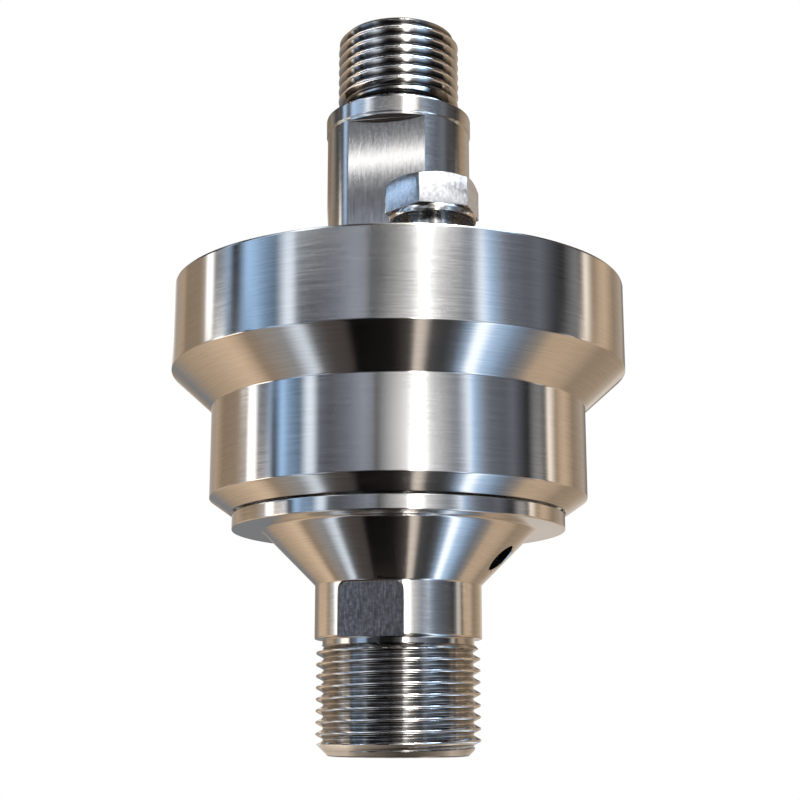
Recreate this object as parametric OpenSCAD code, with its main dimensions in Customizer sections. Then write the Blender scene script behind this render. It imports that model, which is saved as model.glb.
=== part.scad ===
// High-pressure in-line swivel fitting, in millimetres.
// Origin: centre of the outlet's end face. +Z runs along the axis, towards the inlet.
// Angles around the axis are counted from the front (-Y), towards +X.

/* [Threads] */
// Major diameter of the outlet thread
outlet_thread_d = 26.441; // [24:0.001:30]
// Major diameter of the inlet thread
inlet_thread_d = 20.955; // [19.5:0.001:23]
// Pitch of both threads, 14 to the inch
thread_pitch = 1.814; // [1.2:0.001:2.2]
// Full and cut crests on the outlet thread
outlet_crests = 9; // [6:1:12]
// Crests on the inlet thread
inlet_crests = 7; // [5:1:10]

/* [Outlet shaft] */
// Diameter of the outlet's end face
outlet_end_d = 22.4; // [20:0.1:24]
// Height of the first crest's middle above the end face
outlet_crest_h = 1.6; // [1.2:0.1:3]
// Length of the plain relief above the outlet thread
outlet_relief_len = 1.4; // [0.8:0.1:3]
// Diameter of that relief
outlet_relief_d = 24.5; // [23:0.1:26]
// Diameter of the lower neck
lower_neck_d = 27.08; // [26:0.01:32]
// Length of the lower neck
lower_neck_len = 8.7; // [6:0.1:14]
// Distance across the lower wrench flats
lower_flats_af = 24.7; // [22:0.1:27]
// Round neck left between the lower wrench flats and the cone
lower_flats_gap = 0.2; // [0.1:0.1:3]
// Angle of the lower flats around the axis
lower_flats_angle = -20.4; // [-180:0.1:180]
// Diameter of the 45 degree cone where it meets the disc
cone_top_d = 43.8; // [38:0.1:50]
// Radius of the fillet between cone and disc
cone_fillet = 0.4; // [0.2:0.1:1]
// Diameter of the disc that covers the housing's lip
disc_d = 54.5; // [50:0.1:56]
// Thickness of the disc
disc_t = 2.4; // [1.5:0.1:5]
// Diameter of the outlet's flow bore
outlet_bore_d = 14; // [13.6:0.1:15]
// Diameter of the coned mouth at the outlet's end
outlet_mouth_d = 18; // [16:0.1:19]
// Solid height between the disc's top and the housing's lip
swivel_gap = 0.3; // [0.2:0.05:0.8]
// Diameter of the weep hole, drilled square to the cone
weep_d = 5.3; // [4:0.1:5.6]
// Depth of the weep hole
weep_depth = 3.4; // [2.5:0.1:4]
// Diameter of the channel from the seal chamber to the weep hole
weep_channel_d = 3; // [2:0.1:3.2]
// Angle of the weep hole around the axis
weep_angle = 72; // [0:0.5:180]

/* [Bearings] */
// Bore of both bearings
bearing_bore = 25; // [24.6:0.1:26]
// Outer diameter of both bearings
bearing_od = 47; // [46:0.1:48]
// Width of both bearings
bearing_w = 12; // [11:0.1:15]
// Diameter of a ball
ball_d = 7.14; // [6.4:0.01:7.4]
// Balls in a bearing
ball_count = 10; // [6:1:11]
// Height of both spacers
spacer_len = 3; // [2.4:0.1:8]
// Radial width of a bearing ring's shoulder
ring_shoulder = 3.35; // [2.6:0.05:3.6]
// Radial thickness of a ball cage
cage_wall = 1.8; // [1.2:0.1:2.4]
// Rail of a ball cage above and below the pockets
cage_rail = 0.9; // [0.5:0.1:1.5]
// Thickness of the circlip on the shaft
shaft_circlip_t = 1.2; // [1:0.1:2]
// Radial width of that circlip
shaft_circlip_w = 3.2; // [2.4:0.1:3.6]
// Depth of both circlip grooves
circlip_groove = 0.75; // [0.5:0.05:1]
// Opening of both circlips, in degrees
circlip_gap = 44; // [30:1:80]
// Hole in a circlip's lugs
lug_hole_d = 1.1; // [0.8:0.1:1.2]
// Hub length above the circlip
hub_land = 1; // [0.8:0.1:3]

/* [Housing] */
// Diameter of the housing's lip
lip_d = 55.3; // [55:0.1:58]
// Width of the flat rim under the lip
lip_rim = 0.28; // [0.2:0.02:0.6]
// Depth of the recess inside the lip
lip_recess = 0.8; // [0.5:0.1:2]
// Thickness of the housing's floor
floor_t = 2.4; // [2.4:0.1:6]
// Diameter of the mid body
body_d = 61.94; // [60:0.01:66]
// Height of the chamfer below the mid body
body_chamfer_h = 2.32; // [1.5:0.01:4]
// Length of the mid body
body_len = 14.9; // [8:0.1:20]
// Height of the cone between mid body and head
head_cone_h = 6.04; // [4:0.01:9]
// Diameter of the head
head_d = 75.36; // [73:0.01:82]
// Width of the wiper ring in the floor
wiper_w = 3.4; // [2.6:0.1:3.8]
// Thickness of the wiper's lips
wiper_lip = 0.8; // [0.5:0.1:1]

/* [Inlet cover] */
// Thread diameter of the cover in the housing
cover_d = 48; // [47.6:0.1:49]
// Length of that thread
cover_thread_len = 3.6; // [3:0.1:4.4]
// Thickness of the cover's web above the hub
cover_web_t = 4.7; // [4.2:0.05:9]
// Wall of the cover's spigot
spigot_wall = 2.85; // [2.3:0.05:3.2]
// Depth and width of the cover's seal groove
cover_groove = 1.25; // [1:0.05:1.5]
// Diameter of the upper neck
upper_neck_d = 24.5; // [23:0.1:28]
// Length of the upper neck, up to the collar
upper_neck_len = 28.3; // [24:0.1:40]
// Distance across the upper wrench flats
upper_flats_af = 20.78; // [19.6:0.01:23]
// Round neck left between the upper wrench flats and the collar
upper_flats_gap = 0.5; // [0.2:0.1:12]
// Angle of the upper flats around the axis
upper_flats_angle = -11.1; // [-180:0.1:180]
// Diameter of the collar
collar_d = 24.92; // [24:0.01:30]
// Thickness of the collar
collar_t = 2.8; // [2:0.1:6]
// Length of the undercut above the collar
undercut_len = 2.1; // [1.4:0.05:3]
// Diameter of the undercut
undercut_d = 16.7; // [16:0.1:18]
// Outer diameter of the ring in the undercut
undercut_ring_d = 20.1; // [19.2:0.1:20.6]
// Height from the last crest's middle to the inlet's end face
inlet_end_len = 1.6; // [1.2:0.1:3]
// Diameter of the inlet's end face
inlet_end_d = 19.14; // [17:0.01:20]
// Diameter of the inlet's flow bore
inlet_bore_d = 11; // [10.5:0.1:12]
// Diameter of the coned mouth at the inlet's end
inlet_mouth_d = 15.2; // [13:0.1:16]

/* [Wear tube and seals] */
// Radial width of the seal stack around the tube
seal_w = 3; // [2.8:0.05:3.3]
// Outer diameter of the wear tube
tube_d = 13; // [12.6:0.1:13.4]
// Bore of the wear tube
tube_bore_d = 9.5; // [8:0.1:10.2]
// Diameter of the tube's flange
tube_flange_d = 17; // [16:0.1:18]
// Thickness of the tube's flange
tube_flange_t = 2; // [1.5:0.1:2.6]
// Length of tube held in the neck, above its flange
tube_hold_len = 22.5; // [16:0.1:26]
// Depth of the tube's static seal groove
tube_groove = 1.7; // [1.4:0.1:1.8]
// Height of the static seal above the tube's flange
tube_seal_rise = 12; // [6:0.1:14]
// Thickness of the seal support ring
support_t = 2; // [1.5:0.1:4]
// Height of the high-pressure seal
seal_h = 4; // [3.6:0.1:6]
// Thickness of the back-up ring
backup_t = 1.2; // [1:0.1:2]
// Thickness of the seal's two lips
seal_lip = 0.75; // [0.5:0.05:0.9]
// Thickness of the seal's closed side
seal_web = 1.3; // [1:0.1:1.6]
// Height of the lantern ring
lantern_h = 4.8; // [4.7:0.1:8]
// Thickness of the lantern ring's two flanges
lantern_flange = 0.9; // [0.5:0.1:1.2]
// Depth of the groove around the lantern ring
lantern_groove = 0.8; // [0.5:0.1:1.2]
// Diameter of the lantern ring's holes
lantern_hole_d = 1.6; // [1:0.1:2]
// Holes in the lantern ring
lantern_holes = 8; // [4:1:12]
// Length of the guide bush
bush_len = 13; // [8:0.1:16]
// Depth of the two grease grooves in the bush
bush_groove = 0.4; // [0.2:0.1:0.5]
// Diameter that shapes those grooves
bush_groove_d = 1.2; // [1:0.1:2]
// Thickness of the seal retaining ring
retainer_t = 1.2; // [1:0.1:2]
// Radial width of that ring
retainer_w = 1.9; // [1.6:0.1:2.4]
// Height of the seal chamber's floor
chamber_floor_h = 21.2; // [20:0.1:23]

/* [Grease plug] */
// Place of the plug between the cover's edge (0) and the head's edge (1)
plug_place = 0.376; // [0.34:0.002:0.5]
// Angle of the plug around the axis
plug_angle = 10.2; // [0:0.1:90]
// Size across the hex head's flats
plug_af = 12.7; // [10:0.1:14]
// Height of the hex head
plug_head_h = 5; // [3:0.1:7]
// Turn of the hex head about its own axis
plug_head_turn = 14.1; // [-30:0.1:30]
// Diameter of the plug's flange
plug_flange_d = 13.2; // [12:0.1:14]
// Thickness of the plug's flange
plug_flange_t = 1.1; // [0.8:0.1:2]
// Diameter of the plug's collar
plug_collar_d = 8.8; // [8:0.1:9.4]
// Height of that collar above the housing
plug_collar_h = 2.85; // [2:0.05:5]
// Diameter of the plug's screwed shank
plug_shank_d = 6; // [4:0.1:6.6]
// Length of that shank
plug_shank_len = 8; // [6:0.1:9]
// Thickness of the seal ring in the flange's underside
plug_ring_t = 0.68; // [0.5:0.02:0.7]
// How far that ring stands out of the flange
plug_ring_lip = 0.08; // [0.04:0.02:0.2]
// Width of the flange's rim around that ring
plug_rim = 0.4; // [0.3:0.05:0.6]
// Diameter of the grease channel
grease_d = 1.8; // [1:0.1:2.2]

/* [Clearances] */
// Between pieces that are fixed to each other
seat_c = 0.02; // [0.01:0.01:0.05]
// Radial, between pieces that turn on each other
run_c = 0.04; // [0.02:0.01:0.08]
// Between a ball and its raceway
race_c = 0.08; // [0.05:0.01:0.12]
// Between a ball and its cage
pocket_c = 0.12; // [0.1:0.01:0.2]
// Where turning pieces pass each other without a fit
free_c = 0.6; // [0.4:0.1:1]
// Radial, between the tube and the rings that leave it free
ring_c = 0.2; // [0.1:0.05:0.4]
// Radial, between the tube and the back-up ring
backup_c = 0.08; // [0.05:0.01:0.1]

/* [Edges] */
// Small chamfer on turned edges
edge = 0.3; // [0.1:0.05:0.5]
// Half-angle of the coned mouths, in degrees
mouth_angle = 30; // [25:1:45]

/* [Hidden] */
$fn = 96;

// How far a cutter passes a face that it opens, and a wall that it goes through
eps = 0.01;
over = 1;

// Whitworth thread form
flank_angle = 27.5;
thread_depth = 0.640327 * thread_pitch;
flank_len = thread_depth * tan(flank_angle);
crest_land = (thread_pitch - 2 * flank_len) / 2;

// Heights of the outlet shaft
outlet_last_crest = outlet_crest_h + (outlet_crests - 1) * thread_pitch;
relief_z = outlet_last_crest + crest_land / 2 + flank_len;
lower_neck_z = relief_z + outlet_relief_len;
cone_z = lower_neck_z + lower_neck_len;
cone_top_z = cone_z + (cone_top_d - lower_neck_d) / 2;
disc_z = cone_top_z + cone_fillet;
disc_top_z = disc_z + disc_t;

// Heights of the housing and the bearing stack
lip_z = disc_top_z + swivel_gap;
floor_z = lip_z + lip_recess;
seat_z = floor_z + floor_t;
spacer_z = seat_z + bearing_w;
upper_seat_z = spacer_z + spacer_len;
stack_top_z = upper_seat_z + bearing_w;
circlip_top_z = stack_top_z + shaft_circlip_t;
hub_top_z = circlip_top_z + hub_land;
cover_under_z = hub_top_z + free_c;
top_z = cover_under_z + cover_web_t;
body_z = lip_z + body_chamfer_h;
head_cone_z = body_z + body_len;
head_z = head_cone_z + head_cone_h;
cover_thread_z = top_z - cover_thread_len;

// Heights of the inlet
collar_z = top_z + upper_neck_len;
undercut_z = collar_z + collar_t;
inlet_thread_z = undercut_z + undercut_len;
inlet_first_crest = inlet_thread_z + flank_len + crest_land / 2;
inlet_last_crest = inlet_first_crest + (inlet_crests - 1) * thread_pitch;
end_z = inlet_last_crest + inlet_end_len;

// Seal chamber
chamber_d = tube_d + 2 * seal_w;

// Heights of the seal stack
seal_z = chamber_floor_h + support_t;
backup_z = seal_z + seal_h;
lantern_z = backup_z + backup_t;
bush_z = lantern_z + lantern_h;
retainer_z = bush_z + bush_len;
weep_z = lantern_z + lantern_h / 2;

// Heights of the wear tube
tube_end_z = chamber_floor_h + free_c;
tube_flange_z = cover_under_z;
tube_seat_z = tube_flange_z + tube_flange_t;
tube_top_z = tube_seat_z + tube_hold_len;
tube_seal_z = tube_seat_z + tube_seal_rise;

// Bearing geometry
hub_r = bearing_bore / 2;
housing_r = bearing_od / 2;
pitch_r = (hub_r + housing_r) / 2;
race_r = ball_d / 2 + race_c;
pocket_r = ball_d / 2 + pocket_c;
inner_shoulder_r = hub_r + ring_shoulder;
outer_shoulder_r = housing_r - ring_shoulder;
shaft_shoulder_r = inner_shoulder_r - edge;
cage_h = 2 * (pocket_r + cage_rail);

// Grease plug
plug_radius = cover_d / 2 + plug_place * (head_d - cover_d) / 2;
plug_top_z = top_z + plug_collar_h + plug_flange_t + plug_head_h;
plug_shank_z = top_z - plug_shank_len;
plug_tip_h = plug_shank_d / 2 - grease_d / 2;
plug_tip_z = plug_shank_z - plug_tip_h;
plug_chamfer = 30; // slope of the hex head's top edge
plug_ring_r = plug_flange_d / 2 - plug_rim;
channel_end_z = spacer_z + spacer_len / 2;
channel_run = plug_radius - housing_r;
channel_drop = plug_tip_z - channel_end_z;

// Points of a threaded outline, crest by crest, going up
function crest_points(first_z, crests, major_r, step = thread_pitch) = [
    for (i = [0 : crests - 1])
        let (mid = first_z + i * step)
        each [
            [major_r - thread_depth, mid - crest_land / 2 - flank_len],
            [major_r, mid - crest_land / 2],
            [major_r, mid + crest_land / 2],
            [major_r - thread_depth, mid + crest_land / 2 + flank_len]
        ]
];

// Ring of rectangular section, with chamfered corners where asked
module ring(inner_r, outer_r, z, h, chamfer = 0) {
    rotate_extrude()
        polygon([
            [inner_r + chamfer, z], [outer_r - chamfer, z],
            [outer_r, z + chamfer], [outer_r, z + h - chamfer],
            [outer_r - chamfer, z + h], [inner_r + chamfer, z + h],
            [inner_r, z + h - chamfer], [inner_r, z + chamfer]
        ]);
}

module torus(mid_r, section_r, z) {
    rotate_extrude()
        translate([mid_r, z]) circle(r = section_r);
}

// Two parallel wrench flats: what lies outside them, from z_low to z_high
module flats_cut(af, outer_r, angle, z_low, z_high) {
    for (side = [0, 180])
        rotate([0, 0, angle + side])
            translate([-outer_r, -outer_r - eps, z_low])
                cube([2 * outer_r, outer_r + eps - af / 2, z_high - z_low]);
}

// Coned mouth, opening towards z
module mouth_cut(bore_r, mouth_r, z, up) {
    depth = (mouth_r - bore_r) / tan(mouth_angle);
    rotate_extrude()
        polygon([[0, z], [mouth_r, z], [bore_r, z - up * depth], [0, z - up * depth]]);
}

// Flat open ring with two lugs; it is open towards the front
module circlip(inner_r, outer_r, lug_r, z, t) {
    lug_angle = circlip_gap / 2 + asin(lug_hole_d / lug_r);
    difference() {
        union() {
            ring(inner_r, outer_r, z, t);
            for (side = [-1, 1])
                rotate([0, 0, side * lug_angle])
                    translate([0, -lug_r, z]) cylinder(d = 2 * lug_hole_d, h = t);
        }
        translate([0, 0, z - eps])
            linear_extrude(t + 2 * eps)
                polygon([
                    [0, 0],
                    2 * outer_r * [sin(-circlip_gap / 2), -cos(circlip_gap / 2)],
                    2 * outer_r * [sin(circlip_gap / 2), -cos(circlip_gap / 2)]
                ]);
        for (side = [-1, 1])
            rotate([0, 0, side * lug_angle])
                translate([0, -lug_r, z - eps]) cylinder(d = lug_hole_d, h = t + 2 * eps);
    }
}

module outlet_shaft() {
    thread_r = outlet_thread_d / 2;
    root_r = thread_r - thread_depth;
    color("silver")
    difference() {
        rotate_extrude()
            polygon(concat(
                [[outlet_bore_d / 2, 0], [root_r, 0]],
                crest_points(outlet_crest_h, outlet_crests, thread_r),
                [
                    [outlet_relief_d / 2, relief_z + eps],
                    [outlet_relief_d / 2, lower_neck_z],
                    [lower_neck_d / 2, lower_neck_z],
                    [lower_neck_d / 2, cone_z],
                    [cone_top_d / 2, cone_top_z],
                    [cone_top_d / 2 + cone_fillet, disc_z],
                    [disc_d / 2, disc_z],
                    [disc_d / 2, disc_top_z],
                    [shaft_shoulder_r, disc_top_z],
                    [shaft_shoulder_r, seat_z],
                    [hub_r, seat_z],
                    [hub_r, stack_top_z],
                    [hub_r - circlip_groove, stack_top_z],
                    [hub_r - circlip_groove, circlip_top_z],
                    [hub_r, circlip_top_z],
                    [hub_r, hub_top_z - edge],
                    [hub_r - edge, hub_top_z],
                    [chamber_d / 2, hub_top_z],
                    [chamber_d / 2, retainer_z + retainer_t],
                    [chamber_d / 2 + circlip_groove, retainer_z + retainer_t],
                    [chamber_d / 2 + circlip_groove, retainer_z],
                    [chamber_d / 2, retainer_z],
                    [chamber_d / 2, chamber_floor_h],
                    [outlet_bore_d / 2, chamber_floor_h]
                ]
            ));
        outlet_end_cut();
        mouth_cut(outlet_bore_d / 2, outlet_mouth_d / 2, 0, -1);
        flats_cut(
            lower_flats_af, lower_neck_d, lower_flats_angle,
            lower_neck_z - outlet_relief_len / 2, cone_z - lower_flats_gap
        );
        weep_hole();
    }
}

// What the end chamfer takes off the outlet thread
module outlet_end_cut() {
    reach = outlet_thread_d / 2 + over;
    rotate_extrude()
        polygon([
            [outlet_end_d / 2, 0], [outlet_end_d / 2, -eps],
            [reach, -eps], [reach, reach - outlet_end_d / 2]
        ]);
}

module weep_hole() {
    cone_run = (cone_top_d - lower_neck_d) / 2;
    cone_rise = cone_top_z - cone_z;
    mouth_r = lower_neck_d / 2 + (weep_z - cone_z) * cone_run / cone_rise;
    rotate([0, 0, weep_angle]) {
        translate([0, over - chamber_d / 2, weep_z])
            rotate([90, 0, 0])
                cylinder(d = weep_channel_d, h = mouth_r - (chamber_d + weep_channel_d) / 2);
        translate([0, -mouth_r, weep_z])
            rotate([atan(cone_run / cone_rise) - 90, 0, 0])
                translate([0, 0, -weep_d])
                    cylinder(d = weep_d, h = weep_d + weep_depth);
    }
}

// One bearing's inner ring, standing on z
module inner_ring(z) {
    color("gainsboro")
    difference() {
        ring(hub_r + seat_c, inner_shoulder_r, z, bearing_w, edge);
        torus(pitch_r, race_r, z + bearing_w / 2);
    }
}

// One bearing's outer ring, standing on z
module outer_ring(z) {
    color("gainsboro")
    difference() {
        ring(outer_shoulder_r, housing_r - seat_c, z, bearing_w, edge);
        torus(pitch_r, race_r, z + bearing_w / 2);
    }
}

// Places its children at each ball of a bearing that stands on z
module at_balls(z) {
    for (i = [0 : ball_count - 1])
        rotate([0, 0, i * 360 / ball_count])
            translate([pitch_r, 0, z + bearing_w / 2]) children();
}

module balls(z) {
    color("white")
    at_balls(z) sphere(d = ball_d);
}

module cage(z) {
    color("peru")
    difference() {
        ring(pitch_r - cage_wall / 2, pitch_r + cage_wall / 2, z + (bearing_w - cage_h) / 2, cage_h);
        at_balls(z) sphere(r = pocket_r);
    }
}

module lower_inner_ring() { inner_ring(seat_z); }
module upper_inner_ring() { inner_ring(upper_seat_z); }
module lower_outer_ring() { outer_ring(seat_z); }
module upper_outer_ring() { outer_ring(upper_seat_z); }
module lower_balls() { balls(seat_z); }
module upper_balls() { balls(upper_seat_z); }
module lower_cage() { cage(seat_z); }
module upper_cage() { cage(upper_seat_z); }

module inner_spacer() {
    color("darkgray")
    ring(hub_r + seat_c, inner_shoulder_r - edge, spacer_z, spacer_len);
}

// The outer spacer has one hole, where the grease channel ends
module outer_spacer() {
    color("darkgray")
    difference() {
        ring(outer_shoulder_r + edge, housing_r - seat_c, spacer_z, spacer_len);
        rotate([0, 0, plug_angle])
            translate([0, over - outer_shoulder_r, channel_end_z])
                rotate([90, 0, 0])
                    cylinder(d = grease_d, h = ring_shoulder + over);
    }
}

module shaft_circlip() {
    inner_r = hub_r - circlip_groove + seat_c;
    color("dimgray")
    circlip(
        inner_r, inner_r + shaft_circlip_w, inner_r + shaft_circlip_w - lug_hole_d / 2,
        stack_top_z + seat_c, shaft_circlip_t - 2 * seat_c
    );
}

module seal_retaining_ring() {
    outer_r = chamber_d / 2 + circlip_groove - seat_c;
    color("dimgray")
    circlip(
        outer_r - retainer_w, outer_r, outer_r - retainer_w + lug_hole_d / 2,
        retainer_z + seat_c, retainer_t - 2 * seat_c
    );
}

module seal_support_ring() {
    color("ivory")
    ring(tube_d / 2 + ring_c, chamber_d / 2 - seat_c, chamber_floor_h, support_t, edge);
}

// U-shaped lip seal, open towards the pressure below
module high_pressure_seal() {
    inner_r = tube_d / 2 + run_c;
    outer_r = chamber_d / 2 - seat_c;
    color("ivory")
    rotate_extrude()
        polygon([
            [inner_r, seal_z], [inner_r + seal_lip, seal_z],
            [inner_r + seal_lip, backup_z - seal_web], [outer_r - seal_lip, backup_z - seal_web],
            [outer_r - seal_lip, seal_z], [outer_r, seal_z],
            [outer_r, backup_z], [inner_r, backup_z]
        ]);
}

// Ring spring that spreads the seal's two lips
module seal_spring() {
    groove_in = tube_d / 2 + run_c + seal_lip;
    groove_out = chamber_d / 2 - seat_c - seal_lip;
    section_r = (groove_out - groove_in) / 2 - seat_c;
    color("lightsteelblue")
    torus((groove_in + groove_out) / 2, section_r, backup_z - seal_web - section_r - seat_c);
}

module seal_backup_ring() {
    color("tan")
    ring(tube_d / 2 + backup_c, chamber_d / 2 - seat_c, backup_z, backup_t);
}

// Ring with a groove outside and radial holes, which lead leakage to the weep hole
module lantern_ring() {
    color("goldenrod")
    difference() {
        ring(tube_d / 2 + ring_c, chamber_d / 2 - seat_c, lantern_z, lantern_h);
        ring(
            chamber_d / 2 - lantern_groove, chamber_d / 2 + over,
            lantern_z + lantern_flange, lantern_h - 2 * lantern_flange
        );
        for (i = [0 : lantern_holes - 1])
            rotate([0, 0, i * 360 / lantern_holes])
                translate([0, 0, weep_z]) rotate([90, 0, 0])
                    cylinder(d = lantern_hole_d, h = chamber_d / 2);
    }
}

// Bronze bush with two grease grooves in its bore
module guide_bush() {
    inner_r = tube_d / 2 + run_c;
    color("darkgoldenrod")
    difference() {
        ring(inner_r, chamber_d / 2 - seat_c, bush_z, bush_len, edge);
        for (part = [1, 2])
            torus(inner_r - bush_groove_d / 2 + bush_groove, bush_groove_d / 2,
                bush_z + part * bush_len / 3);
    }
}

module housing() {
    rim_r = lip_d / 2 - lip_rim;
    color("silver")
    difference() {
        rotate_extrude()
            polygon([
                [rim_r, lip_z], [lip_d / 2, lip_z],
                [body_d / 2, body_z], [body_d / 2, head_cone_z],
                [head_d / 2, head_z], [head_d / 2, top_z - edge],
                [head_d / 2 - edge, top_z],
                [cover_d / 2 + seat_c, top_z], [cover_d / 2 + seat_c, cover_thread_z],
                [housing_r, cover_thread_z], [housing_r, seat_z],
                [shaft_shoulder_r + wiper_w, seat_z], [shaft_shoulder_r + wiper_w, floor_z],
                [rim_r, floor_z]
            ]);
        plug_hole();
    }
}

// Screw hole with a coned seat, and the channel from it to the bearings
module plug_hole() {
    slope = atan2(channel_run, channel_drop);
    rotate([0, 0, plug_angle])
        translate([0, -plug_radius, 0]) {
            translate([0, 0, plug_shank_z])
                cylinder(d = plug_shank_d + 2 * seat_c, h = plug_shank_len + eps);
            translate([0, 0, plug_tip_z - seat_c])
                cylinder(
                    d1 = grease_d, d2 = plug_shank_d + 2 * seat_c, h = plug_tip_h + seat_c
                );
            translate([0, 0, plug_tip_z + grease_d / 2])
                rotate([180 + slope, 0, 0])
                    cylinder(d = grease_d, h = norm([channel_run, channel_drop]) + grease_d);
        }
}

// Lip ring in the housing's floor, which wipes the shaft's shoulder
module shaft_wiper() {
    inner_r = shaft_shoulder_r + run_c;
    outer_r = shaft_shoulder_r + wiper_w - seat_c;
    top = seat_z - edge;
    color("black")
    rotate_extrude()
        polygon([
            [inner_r, floor_z], [inner_r + wiper_lip, floor_z],
            [(inner_r + outer_r) / 2, floor_z + floor_t / 2], [outer_r - wiper_lip, floor_z],
            [outer_r, floor_z], [outer_r, top], [inner_r + wiper_lip, top],
            [inner_r + wiper_lip, floor_z + floor_t / 2]
        ]);
}

module inlet_cover() {
    thread_r = inlet_thread_d / 2;
    spigot_r = housing_r - run_c;
    groove_z = (stack_top_z + cover_thread_z - cover_groove) / 2;
    color("silver")
    difference() {
        rotate_extrude()
            polygon(concat(
                [
                    [inlet_bore_d / 2, end_z],
                    [inlet_bore_d / 2, tube_top_z + edge],
                    [tube_d / 2 + seat_c, tube_top_z + edge],
                    [tube_d / 2 + seat_c, tube_seat_z],
                    [tube_flange_d / 2 + seat_c, tube_seat_z],
                    [tube_flange_d / 2 + seat_c, cover_under_z],
                    [spigot_r - spigot_wall, cover_under_z],
                    [spigot_r - spigot_wall, stack_top_z],
                    [spigot_r, stack_top_z],
                    [spigot_r, groove_z],
                    [housing_r - cover_groove, groove_z],
                    [housing_r - cover_groove, groove_z + cover_groove],
                    [spigot_r, groove_z + cover_groove],
                    [spigot_r, cover_thread_z + seat_c],
                    [cover_d / 2, cover_thread_z + seat_c],
                    [cover_d / 2, top_z - edge],
                    [cover_d / 2 - edge, top_z],
                    [upper_neck_d / 2, top_z],
                    [upper_neck_d / 2, collar_z],
                    [collar_d / 2, collar_z],
                    [collar_d / 2, undercut_z],
                    [undercut_d / 2, undercut_z],
                    [undercut_d / 2, inlet_thread_z - eps]
                ],
                crest_points(inlet_first_crest, inlet_crests, thread_r),
                [[thread_r - thread_depth, end_z]]
            ));
        inlet_end_cut();
        mouth_cut(inlet_bore_d / 2, inlet_mouth_d / 2, end_z, 1);
        flats_cut(
            upper_flats_af, upper_neck_d, upper_flats_angle, top_z, collar_z - upper_flats_gap
        );
        torus(tube_d / 2 + tube_groove / 2, tube_groove / 2, tube_seal_z);
    }
}

// What the end chamfer takes off the inlet thread
module inlet_end_cut() {
    reach = inlet_thread_d / 2 + over;
    rotate_extrude()
        polygon([
            [inlet_end_d / 2, end_z], [inlet_end_d / 2, end_z + eps],
            [reach, end_z + eps], [reach, end_z - (reach - inlet_end_d / 2)]
        ]);
}

module cover_o_ring() {
    section_r = cover_groove / 2 - seat_c;
    color("black")
    torus(housing_r - cover_groove / 2, section_r, (stack_top_z + cover_thread_z) / 2);
}

module wear_tube() {
    color("lightgray")
    rotate_extrude()
        polygon([
            [tube_bore_d / 2, tube_end_z], [tube_d / 2 - edge, tube_end_z],
            [tube_d / 2, tube_end_z + edge], [tube_d / 2, tube_flange_z],
            [tube_flange_d / 2, tube_flange_z], [tube_flange_d / 2, tube_seat_z],
            [tube_d / 2, tube_seat_z], [tube_d / 2, tube_top_z - edge],
            [tube_d / 2 - edge, tube_top_z], [tube_bore_d / 2, tube_top_z]
        ]);
}

module tube_o_ring() {
    color("black")
    torus(tube_d / 2 + tube_groove / 2, tube_groove / 2 - seat_c, tube_seal_z);
}

module inlet_thread_o_ring() {
    section_r = (undercut_ring_d - undercut_d) / 4 - seat_c / 2;
    color("black")
    torus(undercut_d / 2 + seat_c + section_r, section_r, undercut_z + seat_c + section_r);
}

module grease_plug() {
    head_z = plug_top_z - plug_head_h;
    under_z = top_z + plug_collar_h;
    recess_z = under_z + plug_ring_t - plug_ring_lip + seat_c;
    corner_r = plug_af / 2 / cos(30);
    flat_rise = (corner_r - plug_af / 2) * tan(plug_chamfer);
    color("silver")
    rotate([0, 0, plug_angle])
        translate([0, -plug_radius, 0]) {
            intersection() {
                rotate([0, 0, plug_head_turn - plug_angle])
                    translate([0, 0, head_z]) cylinder(r = corner_r, h = plug_head_h, $fn = 6);
                rotate_extrude()
                    polygon([
                        [0, head_z], [corner_r + eps, head_z],
                        [corner_r + eps, plug_top_z - flat_rise - (edge + eps) * tan(plug_chamfer)],
                        [plug_af / 2 - edge, plug_top_z], [0, plug_top_z]
                    ]);
            }
            rotate_extrude()
                polygon([
                    [0, plug_tip_z], [grease_d / 2, plug_tip_z],
                    [plug_shank_d / 2, plug_shank_z], [plug_shank_d / 2, top_z],
                    [plug_collar_d / 2, top_z], [plug_collar_d / 2, recess_z],
                    [plug_ring_r + seat_c, recess_z], [plug_ring_r + seat_c, under_z],
                    [plug_flange_d / 2, under_z], [plug_flange_d / 2, head_z],
                    [0, head_z]
                ]);
        }
}

module plug_seal_ring() {
    color("black")
    rotate([0, 0, plug_angle])
        translate([0, -plug_radius, 0])
            ring(
                plug_collar_d / 2 + seat_c, plug_ring_r,
                top_z + plug_collar_h - plug_ring_lip, plug_ring_t
            );
}

outlet_shaft();
lower_inner_ring();
upper_inner_ring();
inner_spacer();
shaft_circlip();
seal_support_ring();
high_pressure_seal();
seal_spring();
seal_backup_ring();
lantern_ring();
guide_bush();
seal_retaining_ring();
lower_balls();
lower_cage();
upper_balls();
upper_cage();
housing();
lower_outer_ring();
upper_outer_ring();
outer_spacer();
shaft_wiper();
inlet_cover();
cover_o_ring();
wear_tube();
tube_o_ring();
inlet_thread_o_ring();
grease_plug();
plug_seal_ring();
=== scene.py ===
"""Looks of the swivel fitting: turned steel with cut threads, and the studio that it stands in.

Sizes are in millimetres and become metres where a mesh is made. Angles around the axis are
counted from the front (-Y), towards +X, as in the CAD part.
"""

import math

import bmesh
import bpy
import numpy as np
from mathutils import Matrix, Vector


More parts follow.
